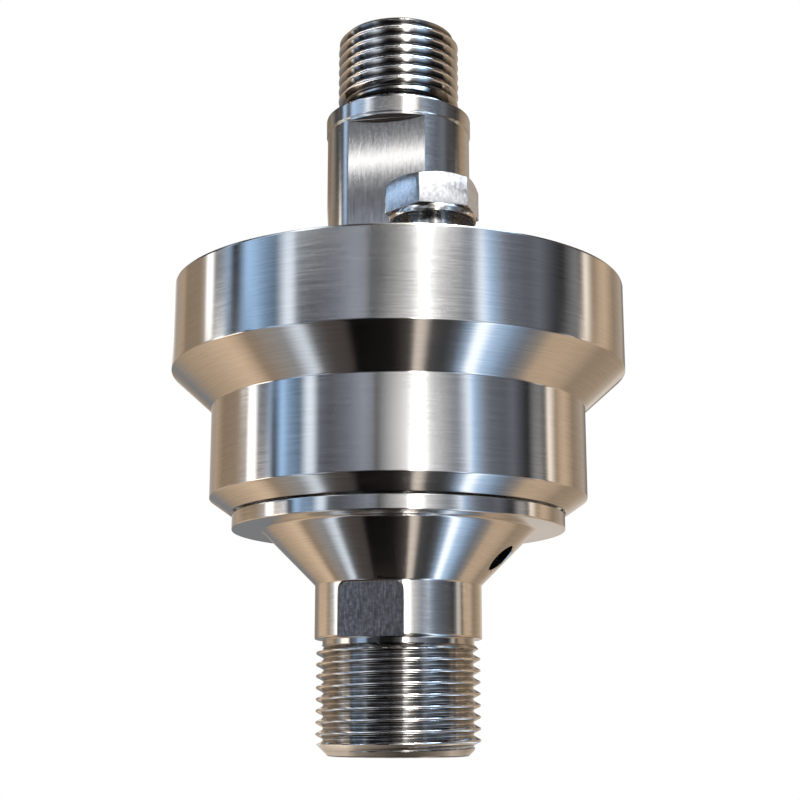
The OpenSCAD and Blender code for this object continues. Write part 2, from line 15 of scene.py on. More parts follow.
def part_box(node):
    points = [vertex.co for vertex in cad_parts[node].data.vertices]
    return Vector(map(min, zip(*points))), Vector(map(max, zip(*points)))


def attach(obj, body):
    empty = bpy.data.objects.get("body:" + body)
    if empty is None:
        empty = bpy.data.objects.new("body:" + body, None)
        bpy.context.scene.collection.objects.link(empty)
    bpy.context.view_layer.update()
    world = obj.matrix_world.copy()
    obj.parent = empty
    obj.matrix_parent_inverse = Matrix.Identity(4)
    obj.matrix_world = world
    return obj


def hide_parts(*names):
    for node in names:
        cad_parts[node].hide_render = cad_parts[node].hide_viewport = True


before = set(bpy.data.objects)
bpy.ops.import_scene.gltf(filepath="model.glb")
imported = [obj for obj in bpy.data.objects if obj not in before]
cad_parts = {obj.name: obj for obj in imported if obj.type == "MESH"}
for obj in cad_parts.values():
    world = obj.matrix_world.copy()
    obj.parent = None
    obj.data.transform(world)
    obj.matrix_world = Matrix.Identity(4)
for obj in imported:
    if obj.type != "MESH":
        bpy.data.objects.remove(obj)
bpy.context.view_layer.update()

MM = 0.001

# Threads, with 14 turns to an inch
PITCH = 1.814
OUTLET_THREAD_R = 26.441 / 2
INLET_THREAD_R = 20.955 / 2
THREAD_DEPTH = 0.640327 * PITCH
THREAD_ROUND = 0.137329 * PITCH
FLANK = math.radians(27.5)
OUTLET_CREST_Z = 16.1 - PITCH / 2  # height of a crest on the +X side
INLET_CREST_Z = 121.05 - 6 * PITCH

# Sizes of the shaft, after the CAD part: R is a radius, Z a height above the outlet's end, and
# the others are lengths
OUTLET_BORE_R, OUTLET_MOUTH_R, OUTLET_MOUTH_Z = 7.0, 9.0, 3.46
OUTLET_END_R = 11.2
RELIEF_R, RELIEF_Z, RUN_OUT_Z = 12.25, 17.3, 17.45
LOWER_NECK_R, LOWER_NECK_Z = 27.08 / 2, 18.27
CONE_Z, CONE_TOP_R, CONE_TOP_Z, CONE_FOOT_R = 26.97, 21.9, 35.33, 22.35
DISC_R, DISC_Z = 27.25, 35.73
SHOULDER_R, HUB_R = 15.55, 12.5
CIRCLIP_GROOVE_R, CIRCLIP_T = 11.75, 1.2
CHAMBER_R, CHAMBER_Z = 9.5, 21.2
RETAINER_GROOVE_R, RETAINER_Z, RETAINER_TOP_Z = 10.25, 46.2, 47.4
# Sizes of the housing
SWIVEL_GAP, LIP_RECESS = 0.3, 0.8
LIP_R, LIP_RIM_R = 27.65, 27.37
BODY_R, BODY_CHAMFER = 30.97, 2.32
HEAD_R, HEAD_CONE_Z, HEAD_Z = 37.68, 55.65, 61.69
COVER_HOLE_R, HOUSING_BORE_R, FLOOR_HOLE_R = 24.02, 23.5, 18.95
# Sizes of the cover
COVER_R, COVER_THREAD, COVER_GAP = 24.0, 3.6, 0.02
SPIGOT_R, SPIGOT_BORE_R = 23.46, 20.61
COVER_GROOVE, COVER_GROOVE_R = 1.25, 22.25
TUBE_HOLD, TUBE_HOLE, TUBE_HOLE_R = 22.5, 22.8, 6.52
TUBE_FLANGE_T, FLANGE_HOLE_R = 2.0, 8.52
UPPER_NECK_R = 24.5 / 2
COLLAR_R, COLLAR_Z, COLLAR_TOP_Z = 12.46, 104.43, 107.23
UNDERCUT_R, UNDERCUT_Z = 8.35, 108.6
INLET_THREAD_Z, INLET_ROOT_R, RUN_IN_SLOPE = 109.2, 9.1, 1.2
INLET_END_R, INLET_BORE_R, INLET_MOUTH_R, INLET_MOUTH = 9.57, 5.5, 7.6, 3.64

# Wrench flats: half their width across, their place, and the block that mills them
LOWER_FLATS = {
    "half_af": 24.7 / 2, "angle": -20.4, "low": 17.4, "high": 26.9,
    "outer": 18.0, "half_width": 5.8, "corner": 1.7, "toe": 0.3,
}
UPPER_FLATS = {
    "half_af": 20.78 / 2, "angle": -11.1, "high": 104.0,
    "outer": 16.0, "half_width": 16.0, "corner": 0.3, "toe": 0.1,
}
# Weep hole in the cone with its channel, and the depths between which its walls get a near-black
# colour as painted shade
WEEP = {
    "angle": 72.0, "z": 30.8, "mouth_r": 17.37, "r": 5.3 / 2, "depth": 3.4, "rim": 0.24,
    "channel_r": 1.5, "channel_from": 8.5, "channel_to": 15.87, "shade_from": 0.3, "shade_to": 9,
}
# Grease plug: its place and its hex head, then its flange, collar, shank and tip
PLUG = {
    "angle": 10.2, "at_r": 29.14, "turn": 14.1, "af": 12.7, "head": 5.0,
    "chamfer": 30, "face": 0.15, "soft": 0.1,
    "flange_r": 6.6, "recess_r": 6.22, "recess": 0.62, "ring_lip": 0.08, "inner_r": 5.6,
    "collar_r": 4.4, "shank_r": 3.0, "shank": 8.0, "tip": 9.9, "tip_r": 1.0,
}

RINGS = 256  # vertices around a turned piece
BREAK, BREAK_STEPS = 0.12, 2  # width of a broken edge, and its faces
BREAK_SHARE = 0.45  # the most of an edge's length that its broken corner may take
HOLD = 0.12  # distance of the row that keeps the shading flat beside a broken edge
HOLD_FROM = 4  # an edge gets that row when it is this many times as long
SHARP = math.radians(22)  # angle above which an edge is shaded sharp
SOFTENED = math.radians(25)  # angle above which soften breaks an edge
MERGE = 1e-7  # vertices nearer than this, in metres, are one
OVERLAP = 0.3  # by which two joined bodies of one piece run into each other


def node_z(node):
    """Lowest and highest point of a CAD node, in mm."""
    low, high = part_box(node)
    return low[2] / MM, high[2] / MM


# Heights taken from the frame
disc_top = node_z("shaft_wiper")[0] - (LIP_RECESS + SWIVEL_GAP)
lip = node_z("housing")[0]
head_top = node_z("housing")[1]
end = node_z("inlet_cover")[1]
seat = node_z("lower_inner_ring")[0]
stack_top = node_z("upper_inner_ring")[1]
hub_top = node_z("outlet_shaft")[1]
tube_seat = node_z("wear_tube")[1] - TUBE_HOLD
cover_under = tube_seat - TUBE_FLANGE_T
UPPER_FLATS["low"] = head_top + COVER_GAP


# Mesh building

def linked(name, data):
    """New object in the scene that shows a mesh, a lamp or a camera."""
    made = bpy.data.objects.new(name, data)
    bpy.context.scene.collection.objects.link(made)
    return made


def new_object(name, verts, faces):
    mesh = bpy.data.meshes.new(name)
    mesh.from_pydata([tuple(v) for v in verts], [], faces)
    mesh.update()
    return linked(name, mesh)


def cutter_from(work):
    """Object from a bmesh, which is used up."""
    mesh = bpy.data.meshes.new("cutter")
    work.to_mesh(mesh)
    work.free()
    return linked("cutter", mesh)


def apply_modifier(obj, step):
    with bpy.context.temp_override(object=obj, active_object=obj):
        bpy.ops.object.modifier_apply(modifier=step.name)


def tidy(obj):
    """Merges doubled vertices and turns all faces outwards."""
    work = bmesh.new()
    work.from_mesh(obj.data)
    bmesh.ops.remove_doubles(work, verts=work.verts, dist=MERGE)
    bmesh.ops.dissolve_degenerate(work, edges=work.edges, dist=MERGE)
    loose = [e for e in work.edges if not e.link_faces]
    bmesh.ops.delete(work, geom=loose, context="EDGES")
    bmesh.ops.recalc_face_normals(work, faces=work.faces)
    work.to_mesh(obj.data)
    work.free()


def turned(name, rows):
    """A lathe body. Each row is (radius, height) in mm, or a helix from thread_rows."""
    around = np.array([2 * math.pi * i / RINGS for i in range(RINGS)])
    last = len(rows) - 1
    verts, seam = [], []
    for i, row in enumerate(rows):
        if callable(row):
            r, z = row(around)
            # past the seam a helix goes on as the row one pitch further up
            step = i + row.lead
            while step > last or not callable(rows[step]):
                step -= 1
            seam.append(step)
        else:
            r, z = np.full(RINGS, row[0]), np.full(RINGS, row[1])
            seam.append(i)
        verts.append(np.stack([r * np.cos(around), r * np.sin(around), z], axis=1) * MM)
    faces = []
    for i in range(len(rows)):
        n = (i + 1) % len(rows)
        a, b = i * RINGS, n * RINGS
        faces += [(a + j, a + j + 1, b + j + 1, b + j) for j in range(RINGS - 1)]
        faces.append((a + RINGS - 1, seam[i] * RINGS, seam[n] * RINGS, b + RINGS - 1))
    made = new_object(name, np.concatenate(verts), faces)
    tidy(made)
    return made


def rounded(points):
    """A profile whose marked corners are broken. A point is (r, z) or (r, z, width).

    A row just before and after each broken corner keeps the long faces' shading flat.
    """
    out = []
    count = len(points)
    for i, point in enumerate(points):
        w = point[2] if len(point) > 2 else BREAK
        p = np.array(point[:2], float)
        before = np.array(points[i - 1][:2], float) - p
        after = np.array(points[(i + 1) % count][:2], float) - p
        la, lb = np.linalg.norm(before), np.linalg.norm(after)
        w = min(w, BREAK_SHARE * la, BREAK_SHARE * lb)
        if w <= 0:
            out.append(tuple(p))
            continue
        start, finish = p + before / la * w, p + after / lb * w
        if la > HOLD_FROM * (w + HOLD):
            out.append(tuple(p + before / la * (w + HOLD)))
        for s in range(BREAK_STEPS + 1):
            t = s / BREAK_STEPS
            out.append(tuple((1 - t) ** 2 * start + 2 * t * (1 - t) * p + t ** 2 * finish))
        if lb > HOLD_FROM * (w + HOLD):
            out.append(tuple(p + after / lb * (w + HOLD)))
    return out


def thread_form():
    """One pitch of the Whitworth form: (height along the pitch, depth below the crest).

    Two more rows near the ends of each flank keep its shading flat between the round parts.
    """
    reach = math.pi / 2 - FLANK
    arc = [reach * k / 3 for k in range(-3, 4)]
    crest = [(THREAD_ROUND * math.sin(a), THREAD_ROUND * (1 - math.cos(a))) for a in arc]
    root = [(PITCH / 2 + rise, THREAD_DEPTH - depth) for rise, depth in crest]
    next_crest = (PITCH + crest[0][0], crest[0][1])

    def flank(a, b):
        return [tuple((1 - t) * i + t * j for i, j in zip(a, b)) for t in (0.06, 0.94)]

    return crest + flank(crest[-1], root[0]) + root + flank(root[-1], next_crest)


def thread_rows(major_r, low, high, crest_z, limit):
    """Rows of a right-hand thread from low to high. limit gives the largest radius at a height."""
    first = math.floor((low - crest_z) / PITCH) - 2
    last = math.ceil((high - crest_z) / PITCH) + 1
    form = thread_form()

    def row(base, depth):
        def at(around):
            free = base + PITCH * around / (2 * math.pi)
            z = np.clip(free, low, high)
            r = np.minimum(major_r - depth, limit(z))
            return np.where(z == free, r, limit(z)), z
        at.lead = len(form)
        return at

    turns = range(first, last)
    return [row(crest_z + i * PITCH + rise, depth) for i in turns for rise, depth in form]


def cut(obj, cutter, operation="DIFFERENCE"):
    """Takes the cutter away from the piece, joins both or keeps what they share. The cutter goes."""
    step = obj.modifiers.new("cut", "BOOLEAN")
    step.operation = operation
    step.solver = "MANIFOLD"
    step.object = cutter
    apply_modifier(obj, step)
    bpy.data.objects.remove(cutter, do_unlink=True)


def flat_cutter(flats, side):
    """Block that mills one of a pair of flats.

    Its upper corners are rounded as the cutter's path is, and its upper inner edge as the tip is.
    """
    half_af, low, high = flats["half_af"], flats["low"], flats["high"]
    depth = flats["outer"] - half_af
    middle = (low + high) / 2
    work = bmesh.new()
    bmesh.ops.create_cube(work, size=1)
    scale = Matrix.Diagonal((2 * flats["half_width"], depth, high - low, 1))
    place = Matrix.Translation((0, -(half_af + depth / 2), middle))
    bmesh.ops.transform(work, matrix=place @ scale, verts=work.verts)
    corners = [
        e for e in work.edges
        if abs(e.verts[0].co.y - e.verts[1].co.y) > 0.5 * depth and e.verts[0].co.z > middle
    ]
    bmesh.ops.bevel(work, geom=corners, offset=flats["corner"], segments=10, affect="EDGES",
                    profile=0.5)
    inner = [
        e for e in work.edges
        if all(abs(v.co.y + half_af) < 1e-4 and v.co.z > middle for v in e.verts)
    ]
    bmesh.ops.bevel(work, geom=inner, offset=flats["toe"], segments=4, affect="EDGES", profile=0.5)
    turn = Matrix.Rotation(math.radians(flats["angle"] + side), 4, "Z")
    bmesh.ops.transform(work, matrix=turn, verts=work.verts)
    bmesh.ops.transform(work, matrix=Matrix.Scale(MM, 4), verts=work.verts)
    return cutter_from(work)


def mill_flats(obj, flats):
    for side in (0, 180):
        cut(obj, flat_cutter(flats, side))


def drill(start, end_at, start_r, end_r, sides=96):
    """Round or many-sided cutter between two points, in mm, with a radius at each."""
    a, b = Vector(start), Vector(end_at)
    turn = (b - a).to_track_quat("Z", "Y").to_matrix().to_4x4()
    place = Matrix.Scale(MM, 4) @ Matrix.Translation((a + b) / 2) @ turn
    work = bmesh.new()
    bmesh.ops.create_cone(work, cap_ends=True, segments=sides, radius1=start_r, radius2=end_r,
                          depth=(b - a).length, matrix=place)
    return cutter_from(work)


def soften(obj, width):
    """Breaks the sharp edges of a piece by a small bevel."""
    step = obj.modifiers.new("soften", "BEVEL")
    step.width = width * MM
    step.segments = 2
    step.limit_method = "ANGLE"
    step.angle_limit = SOFTENED
    apply_modifier(obj, step)


def shade(obj):
    """Smooth shading with sharp edges where the faces meet at a large angle."""
    for p in obj.data.polygons:
        p.use_smooth = True
    work = bmesh.new()
    work.from_mesh(obj.data)
    for e in work.edges:
        e.smooth = not (len(e.link_faces) == 2 and e.calc_face_angle(0) > SHARP)
    work.to_mesh(obj.data)
    work.free()


# Materials

# Lathe marks: how fast they change around the axis and across the grain, and their detail
FINE_MARKS = (5.0, 5200, 3.0)
SLOW_MARKS = (2.0, 420, 2.0)
SLOW_SHARE = 0.15  # share of the slow marks
ROOT_SHADE_PART, CREST_SHADE_PART = 0.8, 0.1  # depths at which the painted shade in a thread's groove is darkest and where it stops
PLAIN_GRAIN = 1500  # scale of the grain of what is neither turned nor milled
TURNED_RELIEF, GRAIN_RELIEF = 0.000012, 0.00002  # heights of the fine relief, in metres


def node_tree(name):
    """New material with an empty node tree."""
    made = bpy.data.materials.new(name)
    made.use_nodes = True
    made.node_tree.nodes.clear()
    return made, made.node_tree.nodes, made.node_tree.links


def math_node(nodes, links, kind, a, b):
    made = nodes.new("ShaderNodeMath")
    made.operation = kind
    for socket, value in zip(made.inputs, (a, b)):
        if isinstance(value, (int, float)):
            socket.default_value = value
        else:
            links.new(value, socket)
    return made.outputs[0]


def object_place(nodes):
    return nodes.new("ShaderNodeTexCoord").outputs["Object"]


def separate(nodes, links, vector):
    made = nodes.new("ShaderNodeSeparateXYZ")
    links.new(vector, made.inputs[0])
    return made.outputs


def vector_node(nodes, links, kind, vector):
    made = nodes.new("ShaderNodeVectorMath")
    made.operation = kind
    links.new(vector, made.inputs[0])
    return made


def surface(nodes, links, shader):
    """Sends a shader to the material's output."""
    output = nodes.new("ShaderNodeOutputMaterial")
    links.new(shader.outputs[0], output.inputs[0])


def noise(nodes, links, vector, scale, detail, w=None):
    """Noise at a place, and with w at a fourth coordinate too."""
    made = nodes.new("ShaderNodeTexNoise")
    made.inputs["Scale"].default_value = scale
    made.inputs["Detail"].default_value = detail
    links.new(vector, made.inputs["Vector"])
    if w is not None:
        made.noise_dimensions = "4D"
        made.inputs["Roughness"].default_value = 0.6
        links.new(w, made.inputs["W"])
    return made.outputs["Fac"]


def lathe_marks(nodes, links, around, across, detail):
    """Noise as lathe marks leave it, without a seam around the axis, and the axis's distance."""
    x, y, z = separate(nodes, links, object_place(nodes))
    flat = nodes.new("ShaderNodeCombineXYZ")
    links.new(x, flat.inputs[0])
    links.new(y, flat.inputs[1])
    radius = vector_node(nodes, links, "LENGTH", flat.outputs[0]).outputs["Value"]
    unit = vector_node(nodes, links, "NORMALIZE", flat.outputs[0]).outputs[0]
    unit_x, unit_y, _ = separate(nodes, links, unit)
    joined = nodes.new("ShaderNodeCombineXYZ")
    scales = (unit_x, around), (unit_y, around), (z, across)
    for socket, (value, scale) in zip(joined.inputs, scales):
        links.new(math_node(nodes, links, "MULTIPLY", value, scale), socket)
    w = math_node(nodes, links, "MULTIPLY", radius, across)
    return noise(nodes, links, joined.outputs[0], 1.0, detail, w), radius


def blend(nodes, links, a, b, share):
    """Two values in one, of which share is b's."""
    return math_node(nodes, links, "ADD", math_node(nodes, links, "MULTIPLY", a, 1 - share),
                     math_node(nodes, links, "MULTIPLY", b, share))


def ramp(nodes, links, fac, stops):
    """Colour ramp. Each stop is (place from 0 to 1, colour)."""
    made = nodes.new("ShaderNodeValToRGB")
    links.new(fac, made.inputs[0])
    band = made.color_ramp
    while len(band.elements) > 1:
        band.elements.remove(band.elements[-1])
    for i, (at, colour) in enumerate(stops):
        element = band.elements[0] if i == 0 else band.elements.new(at)
        element.position = at
        element.color = (*colour, 1)
    return made.outputs[0]


def map_range(nodes, links, value, low, high, from_low=0.3, from_high=0.7):
    """Value that runs from low to high: noise lies mostly between 0.3 and 0.7."""
    made = nodes.new("ShaderNodeMapRange")
    links.new(value, made.inputs["Value"])
    made.inputs["From Min"].default_value = from_low
    made.inputs["From Max"].default_value = from_high
    made.inputs["To Min"].default_value = low
    made.inputs["To Max"].default_value = high
    return made.outputs[0]


def solid(nodes, links, tone, rough, metallic=1.0):
    """Metal or, with metallic 0, rubber or plastic: its tone and roughness come from other nodes."""
    shader = nodes.new("ShaderNodeBsdfPrincipled")
    shader.inputs["Metallic"].default_value = metallic
    links.new(tone, shader.inputs["Base Color"])
    links.new(rough, shader.inputs["Roughness"])
    return shader


def stretch_highlights(nodes, links, shader, aniso, turn):
    """Highlights drawn out by marks that run around the axis."""
    shader.inputs["Anisotropic"].default_value = aniso
    shader.inputs["Anisotropic Rotation"].default_value = turn
    tangent = nodes.new("ShaderNodeTangent")
    tangent.direction_type = "RADIAL"
    tangent.axis = "Z"
    links.new(tangent.outputs[0], shader.inputs["Tangent"])


def raise_grain(nodes, links, shader, height, strength, distance):
    """Fine relief, with the material's output behind it."""
    raised = nodes.new("ShaderNodeBump")
    raised.inputs["Strength"].default_value = strength
    raised.inputs["Distance"].default_value = distance
    links.new(height, raised.inputs["Height"])
    links.new(raised.outputs[0], shader.inputs["Normal"])
    surface(nodes, links, shader)


def tones(colour, dark, light):
    """A darker and a lighter tone of a colour."""
    return tuple(c * dark for c in colour), tuple(min(1.0, c * light) for c in colour)


def turned_steel(name, colour=(0.60, 0.585, 0.565), rough=(0.13, 0.19), aniso=0.8, bump=0.3,
                 crest_r=None, root=1.0, turn=0.25):
    """Lathe-turned steel: fine rings in colour, roughness and height, and stretched highlights.

    With crest_r it is a thread, whose colour darkens towards the root of its groove as painted
    shade:
    root is the brightness there beside the crest.
    """
    made, nodes, links = node_tree(name)
    fine, radius = lathe_marks(nodes, links, *FINE_MARKS)
    slow, _ = lathe_marks(nodes, links, *SLOW_MARKS)
    both = blend(nodes, links, fine, slow, SLOW_SHARE)
    dark, light = tones(colour, 0.9, 1.07)
    tone = ramp(nodes, links, both, [(0.32, dark), (0.68, light)])
    # painted shade: a thread's colour darkens from the crest towards the root
    if crest_r:
        shade_depths = [(crest_r - part * THREAD_DEPTH) * MM for part in (ROOT_SHADE_PART, CREST_SHADE_PART)]
        root_shaded = vector_node(nodes, links, "SCALE", tone)
        links.new(map_range(nodes, links, radius, root, 1.0, *shade_depths), root_shaded.inputs["Scale"])
        tone = root_shaded.outputs[0]
    shader = solid(nodes, links, tone, map_range(nodes, links, both, *rough))
    stretch_highlights(nodes, links, shader, aniso, turn)
    raise_grain(nodes, links, shader, fine, bump, TURNED_RELIEF)
    return made


def milled_steel(name, colour, rough, stretch, bump, mottle, cloudy=0.4, aniso=0.0,
                 spread=(0.8, 1.18)):
    """Milled flat: brush marks along the stretch over a soft mottle.

    stretch is the noise's scale on each axis, and cloudy the mottle's share.
    """
    made, nodes, links = node_tree(name)
    place = object_place(nodes)
    mapping = nodes.new("ShaderNodeMapping")
    mapping.inputs["Scale"].default_value = stretch
    links.new(place, mapping.inputs[0])
    brushed = noise(nodes, links, mapping.outputs[0], 1.0, 3.0)
    cloud = noise(nodes, links, place, mottle, 4.0)
    both = blend(nodes, links, brushed, cloud, cloudy)
    dark, light = tones(colour, *spread)
    tone = ramp(nodes, links, both, [(0.35, dark), (0.65, light)])
    shader = solid(nodes, links, tone, map_range(nodes, links, both, *rough))
    if aniso:
        stretch_highlights(nodes, links, shader, aniso, 0.0)
    raise_grain(nodes, links, shader, brushed, bump, GRAIN_RELIEF)
    return made


def plain_solid(name, colour, rough, metallic=0.0, spread=0.12, bump=0.1):
    """Rubber, plastic or ground steel with a fine even grain."""
    made, nodes, links = node_tree(name)
    grain = noise(nodes, links, object_place(nodes), PLAIN_GRAIN, 5.0)
    dark, light = tones(colour, 1 - spread, 1 + spread)
    tone = ramp(nodes, links, grain, [(0.3, dark), (0.7, light)])
    shader = solid(nodes, links, tone, map_range(nodes, links, grain, *rough), metallic)
    raise_grain(nodes, links, shader, grain, bump, GRAIN_RELIEF)
    return made


STEEL = turned_steel("turned_steel", rough=(0.11, 0.16))
THREAD_TONE = (0.68, 0.665, 0.65)
# root sets how dark each thread's painted shade is at the root of its groove
OUTLET_THREAD = turned_steel("outlet_thread_steel", THREAD_TONE, (0.05, 0.09), 0.5, 0.03,
                             crest_r=OUTLET_THREAD_R, root=0.6, turn=0.0)
INLET_THREAD = turned_steel("inlet_thread_steel", THREAD_TONE, (0.06, 0.1), 0.5, 0.03,
                            crest_r=INLET_THREAD_R, root=0.26, turn=0.0)
# near-black steel that paints the shade inside the weep hole
HOLE_SHADE_STEEL = turned_steel("hole_shade_steel", (0.05, 0.048, 0.045), (0.3, 0.4), 0.3, 0.2)
# the lower flat's steel is darker than the shaft's turned steel: painted shade
LOWER_FLAT = milled_steel("lower_flat_shaded_steel", (0.4, 0.365, 0.35), (0.15, 0.24), (5200, 5200, 520),
                          0.25, 1800, cloudy=0.5, aniso=0.5, spread=(0.7, 1.3))
UPPER_FLAT = milled_steel("upper_flat_steel", (0.6, 0.59, 0.58), (0.09, 0.12), (6500, 6500, 420),
                          0.14, 2500, cloudy=0.35, aniso=0.92, spread=(0.86, 1.12))
HEX = milled_steel("hex_steel", (0.64, 0.64, 0.65), (0.1, 0.17), (2600, 2600, 1600), 0.3, 1400)
RUBBER = plain_solid("black_rubber", (0.012, 0.012, 0.013), (0.22, 0.34), spread=0.2)
BEARING = turned_steel("bearing_steel", (0.6, 0.6, 0.61), (0.1, 0.18), 0.4, 0.2)
SPRING = plain_solid("spring_steel", (0.22, 0.22, 0.23), (0.3, 0.45), 1.0)
BALL = plain_solid("ball_steel", (0.78, 0.78, 0.79), (0.04, 0.08), 1.0, bump=0.0)
TUBE = turned_steel("hard_steel", (0.66, 0.66, 0.67), (0.1, 0.16), 0.4, 0.15)
PLAIN = turned_steel("plain_steel", (0.48, 0.48, 0.49), (0.22, 0.34), 0.5, 0.3)
BRONZE = turned_steel("bronze", (0.68, 0.42, 0.2), (0.24, 0.36), 0.4, 0.3)
CAGE = plain_solid("cage_plastic", (0.5, 0.38, 0.2), (0.45, 0.6))
SEAL = plain_solid("seal_plastic", (0.78, 0.75, 0.68), (0.4, 0.55), spread=0.06)
BACKUP = plain_solid("backup_plastic", (0.42, 0.32, 0.2), (0.4, 0.55))

NODE_LOOKS = {
    "lower_inner_ring": BEARING, "upper_inner_ring": BEARING,
    "lower_outer_ring": BEARING, "upper_outer_ring": BEARING,
    "lower_balls": BALL, "upper_balls": BALL, "lower_cage": CAGE, "upper_cage": CAGE,
    "inner_spacer": PLAIN, "outer_spacer": PLAIN,
    "shaft_circlip": SPRING, "seal_retaining_ring": SPRING, "seal_spring": SPRING,
    "seal_support_ring": SEAL, "high_pressure_seal": SEAL, "seal_backup_ring": BACKUP,
    "lantern_ring": BRONZE, "guide_bush": BRONZE, "wear_tube": TUBE,
    "shaft_wiper": RUBBER, "cover_o_ring": RUBBER, "tube_o_ring": RUBBER,
    "inlet_thread_o_ring": RUBBER, "plug_seal_ring": RUBBER,
}


# Pieces

# Slots of a piece's materials, after the turned steel
THREAD_SLOT, FLAT_SLOT, HOLE_SHADE_SLOT, HEX_SLOT = 1, 2, 3, 1
# Heights between which the faces have their thread's look
OUTLET_LOOK_FROM, OUTLET_LOOK_TO, INLET_LOOK_FROM = 0.05, 18.2, 107.5
FACING, NEAR = 0.97, 0.05  # a face belongs to a flat if it faces its way and lies near it


def paint_flats(obj, flats):
    """Gives the faces that lie in the two flats their own material slot."""
    a = math.radians(flats["angle"])
    normal = Vector((math.sin(a), -math.cos(a), 0))
    for p in obj.data.polygons:
        facing = p.normal.dot(normal)
        deep = abs(Vector(p.center).dot(normal)) / MM
        if abs(facing) > FACING and abs(deep - flats["half_af"]) < NEAR:
            p.material_index = FLAT_SLOT
            p.use_smooth = False


def paint_heights(obj, low, high, slot_index):
    """Gives the faces whose middle lies between two heights a material slot."""
    for p in obj.data.polygons:
        if low < p.center[2] / MM < high:
            p.material_index = slot_index


def shaft():
    """Outlet shaft: threaded end, neck, cone, disc, hub and seal chamber."""
    def limit(z):
        return np.minimum(OUTLET_END_R + z, RELIEF_R + (RUN_OUT_Z - z))

    foot = (OUTLET_BORE_R, OUTLET_MOUTH_Z)
    rows = [foot]
    rows += rounded([foot, (OUTLET_MOUTH_R, 0.0), (OUTLET_END_R, 0.0, 0)])[1:-1]
    rows += [(OUTLET_END_R, 0.0)]
    rows += thread_rows(OUTLET_THREAD_R, 0.0, RELIEF_Z, OUTLET_CREST_Z, limit)
    rows += rounded([
        (RELIEF_R, RELIEF_Z, 0), (RELIEF_R, LOWER_NECK_Z, 0.1),
        (LOWER_NECK_R, LOWER_NECK_Z, 0.25), (LOWER_NECK_R, CONE_Z, 0.2),
        (CONE_TOP_R, CONE_TOP_Z, 0.12), (CONE_FOOT_R, DISC_Z, 0.3),
        (DISC_R, DISC_Z, 0.12), (DISC_R, disc_top, 0.12),
        (SHOULDER_R, disc_top, 0.1), (SHOULDER_R, seat, 0.1),
        (HUB_R, seat, 0.1), (HUB_R, stack_top, 0),
        (CIRCLIP_GROOVE_R, stack_top, 0), (CIRCLIP_GROOVE_R, stack_top + CIRCLIP_T, 0),
        (HUB_R, stack_top + CIRCLIP_T, 0), (HUB_R, hub_top, 0.3),
        (CHAMBER_R, hub_top, 0.2), (CHAMBER_R, RETAINER_TOP_Z, 0),
        (RETAINER_GROOVE_R, RETAINER_TOP_Z, 0), (RETAINER_GROOVE_R, RETAINER_Z, 0),
        (CHAMBER_R, RETAINER_Z, 0), (CHAMBER_R, CHAMBER_Z, 0),
        (OUTLET_BORE_R, CHAMBER_Z, 0.2), (OUTLET_BORE_R, OUTLET_MOUTH_Z, 0),
    ])[:-1]
    made = turned("shaft_turned", rows)
    mill_flats(made, LOWER_FLATS)
    cut_weep_hole(made)
    return made


def weep_frame():
    """Centre of the weep hole's mouth, the way out of it, and the way out of its channel."""
    a = math.radians(WEEP["angle"])
    outward = Vector((math.sin(a), -math.cos(a), 0))
    mouth = outward * WEEP["mouth_r"] + Vector((0, 0, WEEP["z"]))
    square = (outward - Vector((0, 0, 1))).normalized()
    return mouth, square, outward


def cut_weep_hole(obj):
    """Hole square to the cone with a broken rim, and the channel from the seal chamber."""
    mouth, square, outward = weep_frame()
    r, over = WEEP["r"], 1
    cut(obj, drill(mouth + square * 2 * over, mouth - square * WEEP["depth"], r, r))
    rim = WEEP["rim"]
    cut(obj, drill(mouth + square * over, mouth - square * rim, r + rim + over, r))
    back = Vector((0, 0, WEEP["z"]))
    start, end_at = back + outward * WEEP["channel_from"], back + outward * WEEP["channel_to"]
    cut(obj, drill(start, end_at, WEEP["channel_r"], WEEP["channel_r"]))


def paint_weep_hole(obj):
    """Gives the walls and the floor of the weep hole and its channel the near-black material slot
    that paints their shade.
    """
    mouth, square, outward = weep_frame()
    for p in obj.data.polygons:
        away = Vector(p.center) / MM - mouth
        deep = -away.dot(square)
        inside = (away + square * deep).length < WEEP["r"] + 0.02
        if inside and WEEP["shade_from"] < deep < WEEP["shade_to"]:
            p.material_index = HOLE_SHADE_SLOT


def housing():
    """Housing: lip, mid body, cone and ring, with the bearings' bore and the cover's hole."""
    step, floor = head_top - COVER_THREAD, lip + LIP_RECESS
    return turned("housing_turned", rounded([
        (LIP_RIM_R, lip, 0.05), (LIP_R, lip, 0.05),
        (BODY_R, lip + BODY_CHAMFER, 0.1), (BODY_R, HEAD_CONE_Z, 0.15),
        (HEAD_R, HEAD_Z, 0.15), (HEAD_R, head_top, 0.3), (COVER_HOLE_R, head_top, 0.1),
        (COVER_HOLE_R, step, 0), (HOUSING_BORE_R, step, 0), (HOUSING_BORE_R, seat, 0.1),
        (FLOOR_HOLE_R, seat, 0.1), (FLOOR_HOLE_R, floor, 0), (LIP_RIM_R, floor, 0.1),
    ]))


